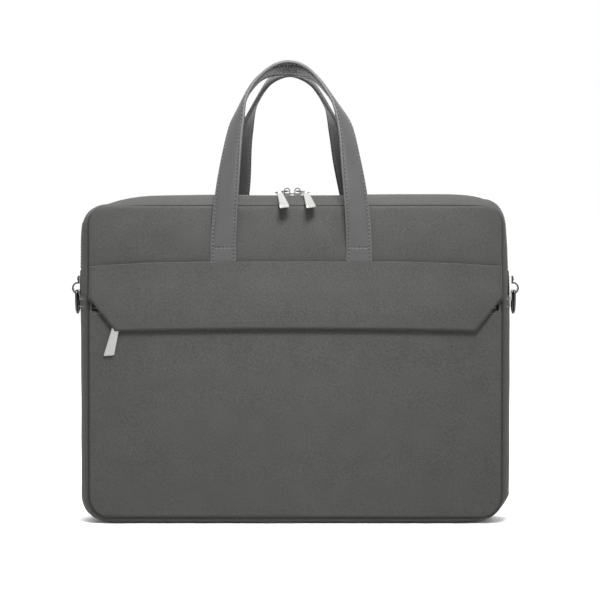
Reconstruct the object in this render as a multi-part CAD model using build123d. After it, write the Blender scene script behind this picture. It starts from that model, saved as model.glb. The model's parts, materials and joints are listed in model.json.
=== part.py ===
from build123d import *
import math
import os

# Soft laptop briefcase with two twisted leather handles.  Millimetres, +Z up.
# Origin: the middle of the flat base.  -Y is the front, X runs from side to side.

# ---------------------------------------------------------------- outer shell
SEAM_WIDTH = 386.0          # between the two side seams of a panel
SEAM_HEIGHT = 290.0         # between the bottom and the top seam of a panel
SEAM_DEPTH = 58.0           # from the front seams to the back seams
SEAM_CORNER = 20.0          # corner radius of a panel's outline
BULGE = 9.5                 # how far the gusset stands out from the seams
BASE_FLAT = 30.0            # depth of the flat that the case stands on
SPLIT_HEIGHT = 213.5        # top of the lower gusset
SPLIT_GAP = 0.3             # lower gusset to zip strips
GUSSET_WALL = 1.8
GUSSET_FOAM = 2.5
LINING = 0.8
LAYER_GAP = 0.2             # between sewn layers of one body
PANEL_WALL = 1.4
PANEL_FOAM = 5.0
FOAM_INSET = 9.0            # foam stops this far inside the seams
BINDING_WIDTH = 3.2         # taped seam edge inside the case
BINDING_THICKNESS = 3.0

# ---------------------------------------------------------------- main zip
DECK_RADIUS = 49.0          # the zip strips are arched from seam to seam
STRIP_INNER = 7.0           # edge of a strip, from the middle of the zip
TAPE_OUTER = 9.5
TAPE_THICKNESS = 0.6
TAPE_TO_STRIP = 0.15
COIL_INNER = 0.75
COIL_OUTER = 3.0
COIL_HEIGHT = 2.4
COIL_END_RISE = 26.5        # the coils end this far above the lower gusset, under the ring patches
SLIDER_MEET_X = -3.0        # where the two sliders meet

# ---------------------------------------------------------------- slider, link and puller
SLIDER_LENGTH = 9.4
SLIDER_NOSE_GAP = 0.4       # between the noses of the two sliders
SLIDER_HALF_WIDTH = 4.4
SLIDER_PLATE = 1.2
SLIDER_RUN_FIT = 0.3        # to the coils and tapes
SLIDER_LOWER_DROP = 2.4     # the lower plate hangs clear of the tapes
SLIDER_POST = 0.9
SLIDER_POST_LENGTH = 2.6
CROWN_LENGTH = 6.0
CROWN_WIDTH = 1.6
CROWN_STRAP = 1.1
CROWN_HOLE_TOP = 4.0        # height of the crown's eye on the main sliders
CROWN_HOLE_POCKET = 3.0     # the pocket slider is flatter
LINK_WIRE = 1.2
LINK_LENGTH = 12.0          # between the middles of its two end bars
LINK_WIDTH = 6.6            # between the middles of its two side bars
LINK_CORNER = 2.0
EYE_BORE = 2.2
EYE_DIAMETER = 3.6
EYE_WIDTH = 2.0
POCKET_EYE_BORE = 2.2
POCKET_EYE_DIAMETER = 3.0
PULLER_LENGTH = 40.0        # from the eye to the tip
PULLER_THICKNESS = 2.2
PULLER_TOP_WIDTH = 5.6
PULLER_END_WIDTH = 9.6
PULLER_END_SLANT = 3.2      # one corner of the end is longer
PULLER_BEVEL = 0.5
PULLER_CORNER = 1.0
PULLER_NECK = 1.8
EYE_RISE = 0.5              # a resting eye above the top plate of its slider
LINK_YAW = 55.0             # the links lie out to their own side
PULLER_YAW = 8.0            # the pullers lie slightly to the right
PULLER_CLEAR = 0.4          # a resting puller to the cloth under it

# ---------------------------------------------------------------- front pocket, yoke and flap
POCKET_WALL = 1.6
POCKET_FACE = 30.4          # outer face of the pocket panel, from the middle
POCKET_SPACE = 5.6          # inside the front pocket
POCKET_ZIP_Z = 204.6
POCKET_ZIP_HALF = 5.0       # from the zip's middle to either hem
POCKET_TAPE_FACE = 25.6     # outer face of the pocket zip's tape
POCKET_TAPE_HALF = 9.0
POCKET_ZIP_END = 4.0        # the pocket zip stops this far inside the side seams
FACING_LAP = 0.4            # a facing stops this far behind its hem
POCKET_HEADER_TOP = 214.6
POCKET_SLIDER_X = -157.0
POCKET_PULLER_TILT = 14.0
FLAP_THICKNESS = 2.4
FLAP_FACE = 36.4            # outer face of the flap, from the middle
FLAP_HINGE_Z = 215.1
FLAP_BOTTOM_Z = 182.6
FLAP_LINING = 0.7
FLAP_CHAMFER_X = 26.0
FLAP_HINGE_CLEAR = 0.45     # flap's top edge below its fold line
YOKE_TOP_Z = 246.1
YOKE_THICKNESS = 1.8
YOKE_BOTTOM_GAP = 3.5       # yoke above the fold line
YOKE_SET_BACK = 0.8         # yoke's lower edge behind the flap's face

# ---------------------------------------------------------------- handles
HANDLE_OFFSET_X = -3.9      # the handles sit slightly off the middle
HANDLE_HALF_SPREAD = 63.3   # between the middle and a leg's middle, at the foot
HANDLE_WIDTH = 24.0
HANDLE_FOOT_THICKNESS = 2.4
HANDLE_PAD_THICKNESS = 4.6
HANDLE_SKIN = 1.12          # face and lining leathers
HANDLE_CORE_GAP = 0.1       # padding to the leathers round it
HANDLE_STEPS = 48           # parts each strap is divided into
HANDLE_BARE_STEPS = 3       # parts without padding at each foot
HANDLE_EDGE = 2.6           # unpadded margin on each side
HANDLE_HINGE_Z = 259.4
HANDLE_APEX_Z = 427.2
HANDLE_BACK_DROP = 1.2      # top of the back handle below the top of the front one
FOOT_LEAN_X = 0.04          # slope of the strap where it leaves its sewn foot: inwards,
FOOT_LEAN_Y = 0.19          # and out from the wall
# Each handle's arch from its foot up: share of the foot's spread, share of the way from the apex's
# depth out to the bow's, share of the rise, and shift to +x.
FRONT_ARCH = [
    (0.955, 1.00, 0.251, 0.0),
    (0.868, 0.80, 0.520, -0.4),
    (0.757, 0.46, 0.732, -1.0),
    (0.560, 0.20, 0.877, -3.2),
    (0.305, 0.05, 0.971, -3.2),
]
BACK_ARCH = [
    (0.885, 1.00, 0.245, 2.8),
    (0.755, 0.80, 0.508, 0.4),
    (0.635, 0.46, 0.716, -0.6),
    (0.440, 0.20, 0.866, -1.0),
    (0.225, 0.05, 0.965, -1.2),
]
FOOT_LEAN_X = 0.04          # slope of the strap where it leaves its sewn foot: inwards,
FOOT_LEAN_Y = 0.19          # and out from the wall
# Each handle's arch from its foot up: share of the foot's spread, share of the way from the apex's
# depth out to the bow's, share of the rise, and shift to +x.
FRONT_ARCH = [
    (0.955, 1.00, 0.28, 0.0),
    (0.868, 0.80, 0.54, 0.0),
    (0.757, 0.46, 0.745, -0.6),
    (0.555, 0.20, 0.885, -3.0),
    (0.300, 0.05, 0.972, -3.2),
]
BACK_ARCH = [
    (0.885, 1.00, 0.28, 3.6),
    (0.755, 0.80, 0.54, 1.4),
    (0.645, 0.46, 0.745, -0.2),
    (0.480, 0.20, 0.885, -1.5),
    (0.245, 0.05, 0.972, -2.0),
]
HANDLE_ROOF_TILT = 30.0     # how far the strap leans at the top of the arch
HANDLE_MID_GAP = 0.8        # between the two handles at the top
HANDLE_BOW = 6.3            # how far the legs stand out over the top seam
HANDLE_STAND_OFF = 1.8      # middle of the strap's foot, from the panel
HANDLE_FOOT_GAP = 0.2
ANCHOR_THICKNESS = 1.2
ANCHOR_BOTTOM_Z = 232.0
ANCHOR_CLEAR = 3.2          # anchor patch below the strap's fold line
PAD_START = 26.0            # the padding fades in over this length
TWIST_EVEN = 0.84           # share of the strap's turn that is spread evenly from foot to apex
TWIST_FADE = 8              # how late that even turn ends
TWIST_RISE = (0.12, 0.58, 0.74)     # further share, and where on the way up it is made
TWIST_APEX = (0.145, 0.84, 1.0)     # the last share

# ---------------------------------------------------------------- side rings
PATCH_WIDTH = 26.0
PATCH_THICKNESS = 1.2
PATCH_CORNER = 4.0
PATCH_DROP = 9.5            # below the lower gusset's top
PATCH_RISE = 23.5           # above the lower gusset's top
PATCH_CLEAR = 0.3
BRIDGE_RISE = 7.0           # middle of the bridge, above the lower gusset's top
BRIDGE_WIDTH = 10.0
BRIDGE_STRAP = 1.4
BRIDGE_EYE_HEIGHT = 8.4
BRIDGE_EYE_DEPTH = 5.4
BRIDGE_FOOT = 6.0
RIVET_DIAMETER = 3.0
RIVET_HEAD = 0.8
RING_WIRE = 2.8
RING_INNER_WIDTH = 25.0
RING_HEIGHT = 21.0          # from the bar's middle to the bottom wire's middle
RING_SEAT_GAP = 0.35        # bar above the bottom of its eye
RING_BACK_GAP = 0.4         # bar to the patch behind it

# ---------------------------------------------------------------- inside and back
BOARD_THICKNESS = 2.0
BOARD_END_CLEAR = 28.0
DIVIDER_FACE = 3.0          # laptop side of the divider, from the middle
DIVIDER_THICKNESS = 4.0
DIVIDER_TOP_Z = 270.0
TAB_WIDTH = 38.0            # hook-and-loop tab over the laptop space
TAB_THICKNESS = 1.3
TAB_TAIL = 36.0
ORGANISER_WIDTH = 240.0
ORGANISER_BOTTOM_Z = 24.0
ORGANISER_TOP_Z = 150.0
SLEEVE_WIDTH = 190.0        # sleeve on the back for a suitcase's tow handle
SLEEVE_BOTTOM_Z = 80.0
SLEEVE_TOP_Z = 205.0
SLEEVE_WALL = 1.4
SLEEVE_GAP = 5.0
SLEEVE_HEM = 10.0

# ---------------------------------------------------------------- worked out from the sizes above
HALF_WIDTH = SEAM_WIDTH / 2
HALF_DEPTH = SEAM_DEPTH / 2
SEAM_BOTTOM_Z = BULGE
SEAM_TOP_Z = BULGE + SEAM_HEIGHT
STRIP_BOTTOM_Z = SPLIT_HEIGHT + SPLIT_GAP
DECK_CENTRE = BULGE - DECK_RADIUS
STRIP_UNDER_RADIUS = DECK_RADIUS - GUSSET_WALL
TAPE_TOP = DECK_CENTRE + math.sqrt(STRIP_UNDER_RADIUS**2 - TAPE_OUTER**2) - TAPE_TO_STRIP
DECK_TAPE_Z = SEAM_TOP_Z + TAPE_TOP
INNER_BULGE = BULGE - GUSSET_WALL - GUSSET_FOAM - LINING - 3 * LAYER_GAP
FLAP_HINGE_Y = -(FLAP_FACE - FLAP_THICKNESS / 2)
PANEL_FACE = HALF_DEPTH + PANEL_WALL
BACK_FOAM_FACE = HALF_DEPTH - LAYER_GAP
BACK_LINING_FACE = BACK_FOAM_FACE - PANEL_FOAM - LAYER_GAP
POCKET_BACK = POCKET_FACE - POCKET_WALL
POCKET_LINING_FACE = POCKET_BACK - POCKET_SPACE
WALL_FOAM_FACE = POCKET_LINING_FACE - LINING - LAYER_GAP
WALL_LINING_FACE = WALL_FOAM_FACE - PANEL_FOAM - LAYER_GAP
HEM_TOP_Z = POCKET_ZIP_Z - POCKET_ZIP_HALF
HANDLE_FOOT_Y = PANEL_FACE + HANDLE_STAND_OFF
SIDE_FACE = HALF_WIDTH + BULGE
PLATE_FLOOR = COIL_HEIGHT + SLIDER_RUN_FIT
PLATE_TOP = PLATE_FLOOR + SLIDER_PLATE
COIL_END_HEIGHT = SPLIT_HEIGHT + COIL_END_RISE
PATCH_BOTTOM_Z = SPLIT_HEIGHT - PATCH_DROP
PATCH_TOP_Z = SPLIT_HEIGHT + PATCH_RISE
BRIDGE_Z = SPLIT_HEIGHT + BRIDGE_RISE
POCKET_DROP = POCKET_TAPE_FACE - TAPE_THICKNESS - POCKET_LINING_FACE - SLIDER_PLATE - SLIDER_RUN_FIT


def block(x0, x1, y0, y1, z0, z1):
    """A box between two corners."""
    solid = Box(x1 - x0, y1 - y0, z1 - z0)
    return Pos((x0 + x1) / 2, (y0 + y1) / 2, (z0 + z1) / 2) * solid


def save(name, shape):
    """Write one node."""
    export_step(shape, "parts/" + name + ".step")


# ---------------------------------------------------------------- panels and bands
def plate(y_face, thickness, inset, z_low=None, z_high=None):
    """A panel in the case's outline, drawn in by inset; y_face is its front face."""
    width = SEAM_WIDTH - 2 * inset
    height = SEAM_HEIGHT - 2 * inset
    corner = max(SEAM_CORNER - inset, 2.0)
    outline = RectangleRounded(width, height, corner)
    middle_z = SEAM_BOTTOM_Z + SEAM_HEIGHT / 2
    lay = Plane(origin=(0, y_face, middle_z), x_dir=(1, 0, 0), z_dir=(0, 1, 0))
    panel = extrude(lay * outline, thickness)
    reach = SEAM_WIDTH
    low = -reach if z_low is None else z_low
    high = 2 * reach if z_high is None else z_high
    return panel & block(-reach, reach, y_face - 1, y_face + thickness + 1, low, high)


def arch_path(start_z, end_z):
    """The seam's line over or under the case, from the left side to the right."""
    corners = [(-HALF_WIDTH, 0, start_z), (-HALF_WIDTH, 0, end_z)]
    corners += [(HALF_WIDTH, 0, end_z), (HALF_WIDTH, 0, start_z)]
    return FilletPolyline(corners, radius=SEAM_CORNER)


def band(section, start_z, end_z):
    """Sweep a section, drawn as (depth towards +Y, distance out of the seam), along a path."""
    path = arch_path(start_z, end_z)
    upward = end_z > start_z
    depth_way = (0, 1, 0) if upward else (0, -1, 0)
    frame = Plane(origin=path @ 0, x_dir=depth_way, z_dir=path % 0)
    drawn = section if upward else mirror(section, Plane.YZ)
    return sweep(frame * drawn, path=path)


def lower_band(section):
    return band(section, SPLIT_HEIGHT, SEAM_BOTTOM_Z)


def upper_band(section):
    return band(section, STRIP_BOTTOM_Z, SEAM_TOP_Z)


def dome(half_depth, rise):
    """Region under the lower gusset's outline: a flat with two rounded shoulders."""
    flat = BASE_FLAT / 2
    right = TangentArc([(flat, rise), (half_depth, 0)], tangent=(1, 0))
    left = TangentArc([(-flat, rise), (-half_depth, 0)], tangent=(-1, 0))
    top = Line((-flat, rise), (flat, rise))
    floor = Line((-half_depth, 0), (half_depth, 0))
    return make_face([right, left, top, floor])


def dome_skin(offset, thickness):
    """One layer of the lower gusset; offset is its depth below the outside."""
    outer = dome(HALF_DEPTH - offset, BULGE - offset)
    inner = dome(HALF_DEPTH - offset - thickness, BULGE - offset - thickness)
    return outer - inner


def slab(u0, u1, v0, v1):
    """A rectangle in a band's section."""
    return Pos((u0 + u1) / 2, (v0 + v1) / 2) * Rectangle(abs(u1 - u0), v1 - v0)


def deck_point(radius, angle):
    """A point of the arched deck; the angle is measured from the middle."""
    return (radius * math.sin(angle), DECK_CENTRE + radius * math.cos(angle))


def deck_arc(radius, first, last):
    middle = (first + last) / 2
    return ThreePointArc(deck_point(radius, first), deck_point(radius, middle), deck_point(radius, last))


def strip_section(side):
    """Section of one zip strip, from its free edge down to the seam."""
    inner_radius = STRIP_UNDER_RADIUS
    outer_first = math.asin(STRIP_INNER / DECK_RADIUS)
    inner_first = math.asin(STRIP_INNER / inner_radius)
    outer_last = math.acos(-DECK_CENTRE / DECK_RADIUS)
    inner_last = math.acos(-DECK_CENTRE / inner_radius)
    over = deck_arc(DECK_RADIUS, outer_first, outer_last)
    under = deck_arc(inner_radius, inner_first, inner_last)
    free_edge = Line(deck_point(DECK_RADIUS, outer_first), deck_point(inner_radius, inner_first))
    seam_edge = Line(deck_point(DECK_RADIUS, outer_last), deck_point(inner_radius, inner_last))
    face = make_face([over, under, free_edge, seam_edge])
    return face if side > 0 else mirror(face, Plane.YZ)


def binding_section(side):
    outer = HALF_DEPTH - PANEL_WALL / 2 - LAYER_GAP
    inner = outer - BINDING_WIDTH
    return slab(side * inner, side * outer, -BINDING_THICKNESS - LAYER_GAP, -LAYER_GAP)


def coil_band(side):
    """One coil over the top of the case, ending under the ring patches."""
    section = slab(side * COIL_INNER, side * COIL_OUTER, TAPE_TOP, TAPE_TOP + COIL_HEIGHT)
    return band(section, COIL_END_HEIGHT, SEAM_TOP_Z)


def tape_band(side):
    return upper_band(slab(side * COIL_INNER, side * TAPE_OUTER, TAPE_TOP - TAPE_THICKNESS, TAPE_TOP))


def make_shell():
    """The back panel, the lower gusset and their linings."""
    save("back_panel", plate(HALF_DEPTH, PANEL_WALL, 0))
    save("back_foam", plate(BACK_FOAM_FACE - PANEL_FOAM, PANEL_FOAM, FOAM_INSET))
    save("back_lining", plate(BACK_LINING_FACE - LINING, LINING, LAYER_GAP))
    foam_depth = GUSSET_WALL + LAYER_GAP
    lining_depth = foam_depth + GUSSET_FOAM + LAYER_GAP
    save("lower_gusset", lower_band(dome_skin(0, GUSSET_WALL)))
    save("gusset_foam", lower_band(dome_skin(foam_depth, GUSSET_FOAM)))
    save("gusset_lining", lower_band(dome_skin(lining_depth, LINING)))
    save("back_seam_binding", lower_band(binding_section(1)) + upper_band(binding_section(1)))
    save("front_seam_binding", lower_band(binding_section(-1)))
    save("back_zip_strip", upper_band(strip_section(1)))
    save("back_zip_tape", tape_band(1))
    save("back_zip_coil", coil_band(1))


def make_inside():
    """The base board, the padded divider with its tab, and the organiser panel."""
    board_z = SEAM_BOTTOM_Z - INNER_BULGE
    board_x = HALF_WIDTH - BOARD_END_CLEAR
    board_y = BASE_FLAT / 2 - 1
    board_top = board_z + LAYER_GAP + BOARD_THICKNESS
    save("base_board", block(-board_x, board_x, -board_y, board_y, board_z + LAYER_GAP, board_top))

    width = SEAM_WIDTH + 2 * (INNER_BULGE - LAYER_GAP)
    bottom = board_top + LAYER_GAP
    height = 2 * (DIVIDER_TOP_Z - bottom)
    outline = RectangleRounded(width, height, SEAM_CORNER + INNER_BULGE)
    lay = Plane(origin=(0, DIVIDER_FACE, DIVIDER_TOP_Z), x_dir=(1, 0, 0), z_dir=(0, -1, 0))
    divider = extrude(lay * outline, DIVIDER_THICKNESS)
    divider = divider & block(-width, width, -HALF_DEPTH, HALF_DEPTH, 0, DIVIDER_TOP_Z)
    save("laptop_divider", divider)

    half = TAB_WIDTH / 2
    back = BACK_LINING_FACE - LINING - LAYER_GAP
    front = DIVIDER_FACE - DIVIDER_THICKNESS - LAYER_GAP
    roof = DIVIDER_TOP_Z + LAYER_GAP + TAB_THICKNESS
    low = roof - TAB_TAIL
    tab = block(-half, half, front - TAB_THICKNESS, back, roof - TAB_THICKNESS, roof)
    tab += block(-half, half, front - TAB_THICKNESS, front, low, roof)
    tab += block(-half, half, back - TAB_THICKNESS, back, low, roof)
    save("laptop_tab", tab)

    face = -(WALL_LINING_FACE - LINING) + LAYER_GAP
    reach = ORGANISER_WIDTH / 2
    panel = block(-reach, reach, face, face + PANEL_WALL, ORGANISER_BOTTOM_Z, ORGANISER_TOP_Z)
    save("organiser_panel", panel)


def make_trolley_sleeve():
    """A band across the back, sewn down each side and open above and below."""
    half = SLEEVE_WIDTH / 2
    skin = PANEL_FACE + LAYER_GAP
    outside = skin + SLEEVE_GAP + SLEEVE_WALL
    sleeve = block(-half, half, skin, outside, SLEEVE_BOTTOM_Z, SLEEVE_TOP_Z)
    room = half - SLEEVE_HEM
    tunnel = block(-room, room, skin - 1, outside - SLEEVE_WALL, 0, 2 * SLEEVE_TOP_Z)
    flat_hem = block(-half - 1, half + 1, skin + SLEEVE_WALL, outside + 1, 0, 2 * SLEEVE_TOP_Z)
    hems = sleeve - flat_hem
    middle = sleeve & block(-room - SLEEVE_WALL, room + SLEEVE_WALL, 0, 2 * outside, 0, SLEEVE_TOP_Z)
    save("trolley_sleeve", (hems + middle) - tunnel)


# ---------------------------------------------------------------- front pocket, leaf, yoke and flap
def make_front_pocket():
    """The zipped pocket on the front and the padded wall behind it."""
    save("pocket_panel", plate(-POCKET_FACE, POCKET_WALL, 0, z_high=HEM_TOP_Z))
    lining_low = SEAM_BOTTOM_Z + LAYER_GAP
    wall_top = POCKET_HEADER_TOP
    lining_face = -POCKET_LINING_FACE
    save("pocket_lining", plate(lining_face, LINING, LAYER_GAP, lining_low, wall_top))
    save("front_wall_foam", plate(-WALL_FOAM_FACE, PANEL_FOAM, FOAM_INSET, z_high=wall_top))
    save("front_wall_lining", plate(-WALL_LINING_FACE, LINING, LAYER_GAP, lining_low, wall_top))

    header_low = POCKET_ZIP_Z + POCKET_ZIP_HALF
    header = plate(-POCKET_FACE, POCKET_WALL, 0, header_low, POCKET_HEADER_TOP)
    save("pocket_zip_header", header)

    reach = HALF_WIDTH - POCKET_ZIP_END
    face = -POCKET_TAPE_FACE
    tapes = []
    coils = []
    for side in (-1, 1):
        near = POCKET_ZIP_Z + side * COIL_INNER
        far = POCKET_ZIP_Z + side * POCKET_TAPE_HALF
        low, high = sorted((near, far))
        tapes.append(block(-reach, reach, face, face + TAPE_THICKNESS, low, high))
        edge = POCKET_ZIP_Z + side * COIL_OUTER
        low, high = sorted((near, edge))
        coils.append(block(-reach, reach, face - COIL_HEIGHT, face, low, high))
    save("pocket_zip_tapes", Compound(children=tapes))
    save("pocket_zip_coils", Compound(children=coils))

    # Two cloth facings turn the zip's tapes out to the hem below and the header above.
    facings = []
    for side in (-1, 1):
        edge = POCKET_ZIP_Z + side * (POCKET_ZIP_HALF + FACING_LAP)
        far = POCKET_ZIP_Z + side * POCKET_TAPE_HALF
        low, high = sorted((edge, far))
        facings.append(block(-reach, reach, -POCKET_BACK + LAYER_GAP, face - LAYER_GAP, low, high))
    save("pocket_zip_facings", Compound(children=facings))


def make_front_leaf():
    """The upper front of the case: it folds forward when the main zip is open."""
    panel_low = FLAP_HINGE_Z + YOKE_BOTTOM_GAP
    save("upper_front_panel", plate(-PANEL_FACE, PANEL_WALL, 0, panel_low))
    foam_y = -BACK_FOAM_FACE
    save("upper_front_foam", plate(foam_y, PANEL_FOAM, FOAM_INSET, panel_low))
    lining_y = -BACK_LINING_FACE
    save("upper_front_lining", plate(lining_y, LINING, LAYER_GAP, panel_low))
    save("upper_seam_binding", upper_band(binding_section(-1)))
    save("front_zip_strip", upper_band(strip_section(-1)))
    save("front_zip_tape", tape_band(-1))
    save("front_zip_coil", coil_band(-1))


def make_yoke_and_flap():
    """The yoke slopes out to the fold line, and the flap hangs from the fold."""
    reach = HALF_WIDTH
    low = FLAP_HINGE_Z + YOKE_BOTTOM_GAP
    top_back = PANEL_FACE + ANCHOR_THICKNESS + 2 * LAYER_GAP
    foot_face = FLAP_FACE - YOKE_SET_BACK
    profile = Polyline(
        (-top_back, YOKE_TOP_Z),
        (-top_back - YOKE_THICKNESS, YOKE_TOP_Z),
        (-foot_face, low),
        (-foot_face + YOKE_THICKNESS, low),
        close=True,
    )
    lay = Plane(origin=(-reach, 0, 0), x_dir=(0, 1, 0), z_dir=(1, 0, 0))
    yoke = extrude(lay * make_face(profile), 2 * reach)
    save("flap_yoke", yoke)

    top = FLAP_HINGE_Z - FLAP_HINGE_CLEAR
    drop = top - FLAP_BOTTOM_Z
    shape = Polyline(
        (-reach, top),
        (reach, top),
        (reach - FLAP_CHAMFER_X, top - drop),
        (-reach + FLAP_CHAMFER_X, top - drop),
        close=True,
    )
    outer = FLAP_THICKNESS - FLAP_LINING - LAYER_GAP
    lay = Plane(origin=(0, -FLAP_FACE, 0), x_dir=(1, 0, 0), z_dir=(0, -1, 0))
    save("flap", extrude(lay * make_face(shape), -outer))
    lay = Plane(origin=(0, -FLAP_FACE + outer + LAYER_GAP, 0), x_dir=(1, 0, 0), z_dir=(0, -1, 0))
    save("flap_lining", extrude(lay * make_face(shape), -FLAP_LINING))


# ---------------------------------------------------------------- handles
def handle_line(arch, apex_z):
    """Middle line of a handle's strap on the front side, from the left foot over to the right."""
    apex_y = HANDLE_WIDTH / 2 * math.cos(math.radians(HANDLE_ROOF_TILT))
    apex_y += HANDLE_PAD_THICKNESS / 2 * math.sin(math.radians(HANDLE_ROOF_TILT))
    apex_y += HANDLE_MID_GAP / 2
    spread = HANDLE_HALF_SPREAD
    foot_y = HANDLE_FOOT_Y
    foot_z = HANDLE_HINGE_Z + HANDLE_FOOT_GAP
    rise = apex_z - foot_z
    lean = foot_y + HANDLE_BOW - apex_y
    knots = [(spread, foot_y, foot_z, 0)]
    for width, depth, height, shift in arch:
        knots.append((spread * width, apex_y + lean * depth, foot_z + rise * height, shift))
    left = [(HANDLE_OFFSET_X + shift - x, -y, z) for x, y, z, shift in knots]
    right = [(HANDLE_OFFSET_X + shift + x, -y, z) for x, y, z, shift in reversed(knots)]
    apex = (HANDLE_OFFSET_X + knots[-1][3], -apex_y, apex_z)
    start = (FOOT_LEAN_X, -FOOT_LEAN_Y, 1)
    end = (FOOT_LEAN_X, FOOT_LEAN_Y, -1)
    return Spline(left + [apex] + right, tangents=[start, end])


def smooth_step(value, low, high):
    """0 below low, 1 above high, and a smooth rise between."""
    share = min(max((value - low) / (high - low), 0.0), 1.0)
    return share * share * (3 - 2 * share)


def strap_twist(from_foot):
    """How far the strap has turned, from 0 at its foot to the full turn at the apex, 1."""
    even = TWIST_EVEN * (from_foot - from_foot**TWIST_FADE / TWIST_FADE)
    rise, rise_from, rise_to = TWIST_RISE
    apex, apex_from, apex_to = TWIST_APEX
    share = even + rise * smooth_step(from_foot, rise_from, rise_to)
    share += apex * smooth_step(from_foot, apex_from, apex_to)
    return math.radians(90 + HANDLE_ROOF_TILT) * share


def strap_face(line, position, edge_in, below, above):
    """One cross-section of a strap layer: between two heights through its thickness."""
    length = line.length
    along = line.tangent_at(position, position_mode=PositionMode.PARAMETER)
    centre = line.position_at(position)
    from_foot = min(position, 1 - position) * 2
    twist = strap_twist(from_foot)
    outward = Vector(0, -1, 0).cross(along).normalized()
    forward = along.cross(outward).normalized()
    normal = forward * math.cos(twist) + outward * math.sin(twist)
    across = forward * math.sin(twist) - outward * math.cos(twist)
    fade = min(from_foot * length / 2 / PAD_START, 1.0)
    pad = HANDLE_FOOT_THICKNESS / 2 * (1 - fade) + HANDLE_PAD_THICKNESS / 2 * fade
    half = HANDLE_WIDTH / 2 - edge_in
    low = below(pad)
    high = above(pad)
    corners = [
        centre - across * half + normal * low,
        centre + across * half + normal * low,
        centre + across * half + normal * high,
        centre - across * half + normal * high,
    ]
    return make_face(Polyline(*corners, close=True))


def strap(line, bare_steps, edge_in, below, above):
    """One layer of a strap along the handle's line, made of short straight parts.

    All the layers share the places where the parts meet, so they lie evenly on each other.
    """
    faces = []
    for step in range(bare_steps, HANDLE_STEPS - bare_steps + 1):
        faces.append(strap_face(line, step / HANDLE_STEPS, edge_in, below, above))
    return loft(faces, ruled=True)


def make_handle(side_name, is_front):
    """Face leather, padding and lining leather of one handle."""
    arch = FRONT_ARCH if is_front else BACK_ARCH
    line = handle_line(arch, HANDLE_APEX_Z - (0 if is_front else HANDLE_BACK_DROP))
    skin = HANDLE_SKIN
    gap = HANDLE_CORE_GAP

    def place(shape):
        return shape if is_front else mirror(shape, Plane.XZ)

    face = strap(line, 0, 0, lambda pad: pad - skin, lambda pad: pad)
    lining = strap(line, 0, 0, lambda pad: -pad, lambda pad: skin - pad)
    core = strap(
        line,
        HANDLE_BARE_STEPS,
        HANDLE_EDGE,
        lambda pad: skin - pad + gap,
        lambda pad: pad - skin - gap,
    )
    save(side_name + "_handle_face", place(face))
    save(side_name + "_handle_pad", place(core))
    save(side_name + "_handle_lining", place(lining))

    anchors = []
    for side in (-1, 1):
        middle = HANDLE_OFFSET_X + side * HANDLE_HALF_SPREAD
        half = HANDLE_WIDTH / 2
        near = -(PANEL_FACE + LAYER_GAP)
        top = HANDLE_HINGE_Z - ANCHOR_CLEAR
        patch = block(middle - half, middle + half, near - ANCHOR_THICKNESS, near, ANCHOR_BOTTOM_Z, top)
        anchors.append(place(patch))
    save(side_name + "_handle_anchors", Compound(children=anchors))


# ---------------------------------------------------------------- sliders, links and pullers
def slider_body(hole_height, drop, grip_back):
    """A slider over a zip: x along the zip, z out of it from the tape's face."""
    length = SLIDER_LENGTH
    half = SLIDER_HALF_WIDTH
    top = Pos(0, 0, PLATE_FLOOR) * extrude(RectangleRounded(length, 2 * half, 2.2), SLIDER_PLATE)
    flange_in = COIL_OUTER + SLIDER_RUN_FIT
    lower_top = -TAPE_THICKNESS - drop
    lower = extrude(RectangleRounded(length, 2 * half - 2, 1.8), SLIDER_PLATE)
    lower = Pos(0, 0, lower_top - SLIDER_PLATE) * lower
    post_x = SLIDER_POST_LENGTH
    post = block(-post_x / 2, post_x / 2, -SLIDER_POST / 2, SLIDER_POST / 2, lower_top, PLATE_FLOOR)
    body = top + lower + post
    flange_x = length / 2 - 1.6
    body += block(-flange_x, flange_x, -half + 0.2, -flange_in, SLIDER_RUN_FIT, PLATE_FLOOR)
    if grip_back:
        body += block(-flange_x, flange_x, flange_in, half - 0.2, SLIDER_RUN_FIT, PLATE_FLOOR)
    outer_x = CROWN_LENGTH / 2
    hole_x = outer_x - CROWN_STRAP
    peak = PLATE_TOP + hole_height
    arch = make_face(crown_outline(outer_x, PLATE_TOP, peak + CROWN_STRAP))
    eye = make_face(crown_outline(hole_x, PLATE_TOP, peak))
    lay = Plane(origin=(0, CROWN_WIDTH / 2, 0), x_dir=(1, 0, 0), z_dir=(0, -1, 0))
    crown = extrude(lay * (arch - eye), CROWN_WIDTH)
    return body + crown


def crown_outline(half, floor, peak):
    """Round-shouldered arch in (x, height)."""
    shoulder = (peak - floor) * 0.45
    mid_height = peak - shoulder
    left = Line((-half, floor), (-half, mid_height))
    right = Line((half, floor), (half, mid_height))
    over = ThreePointArc((-half, mid_height), (0, peak), (half, mid_height))
    base = Line((-half, floor), (half, floor))
    return [left, right, over, base]


def wire_loop():
    """A link: a wire bent to a long loop, from its crown bar at 0 towards -y."""
    middle = Pos(0, -LINK_LENGTH / 2) * RectangleRounded(LINK_WIDTH, LINK_LENGTH, LINK_CORNER)
    outline = middle.wires()[0]
    section = Plane(origin=outline @ 0, z_dir=outline % 0) * Circle(LINK_WIRE / 2)
    return sweep(section, path=outline)


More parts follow.
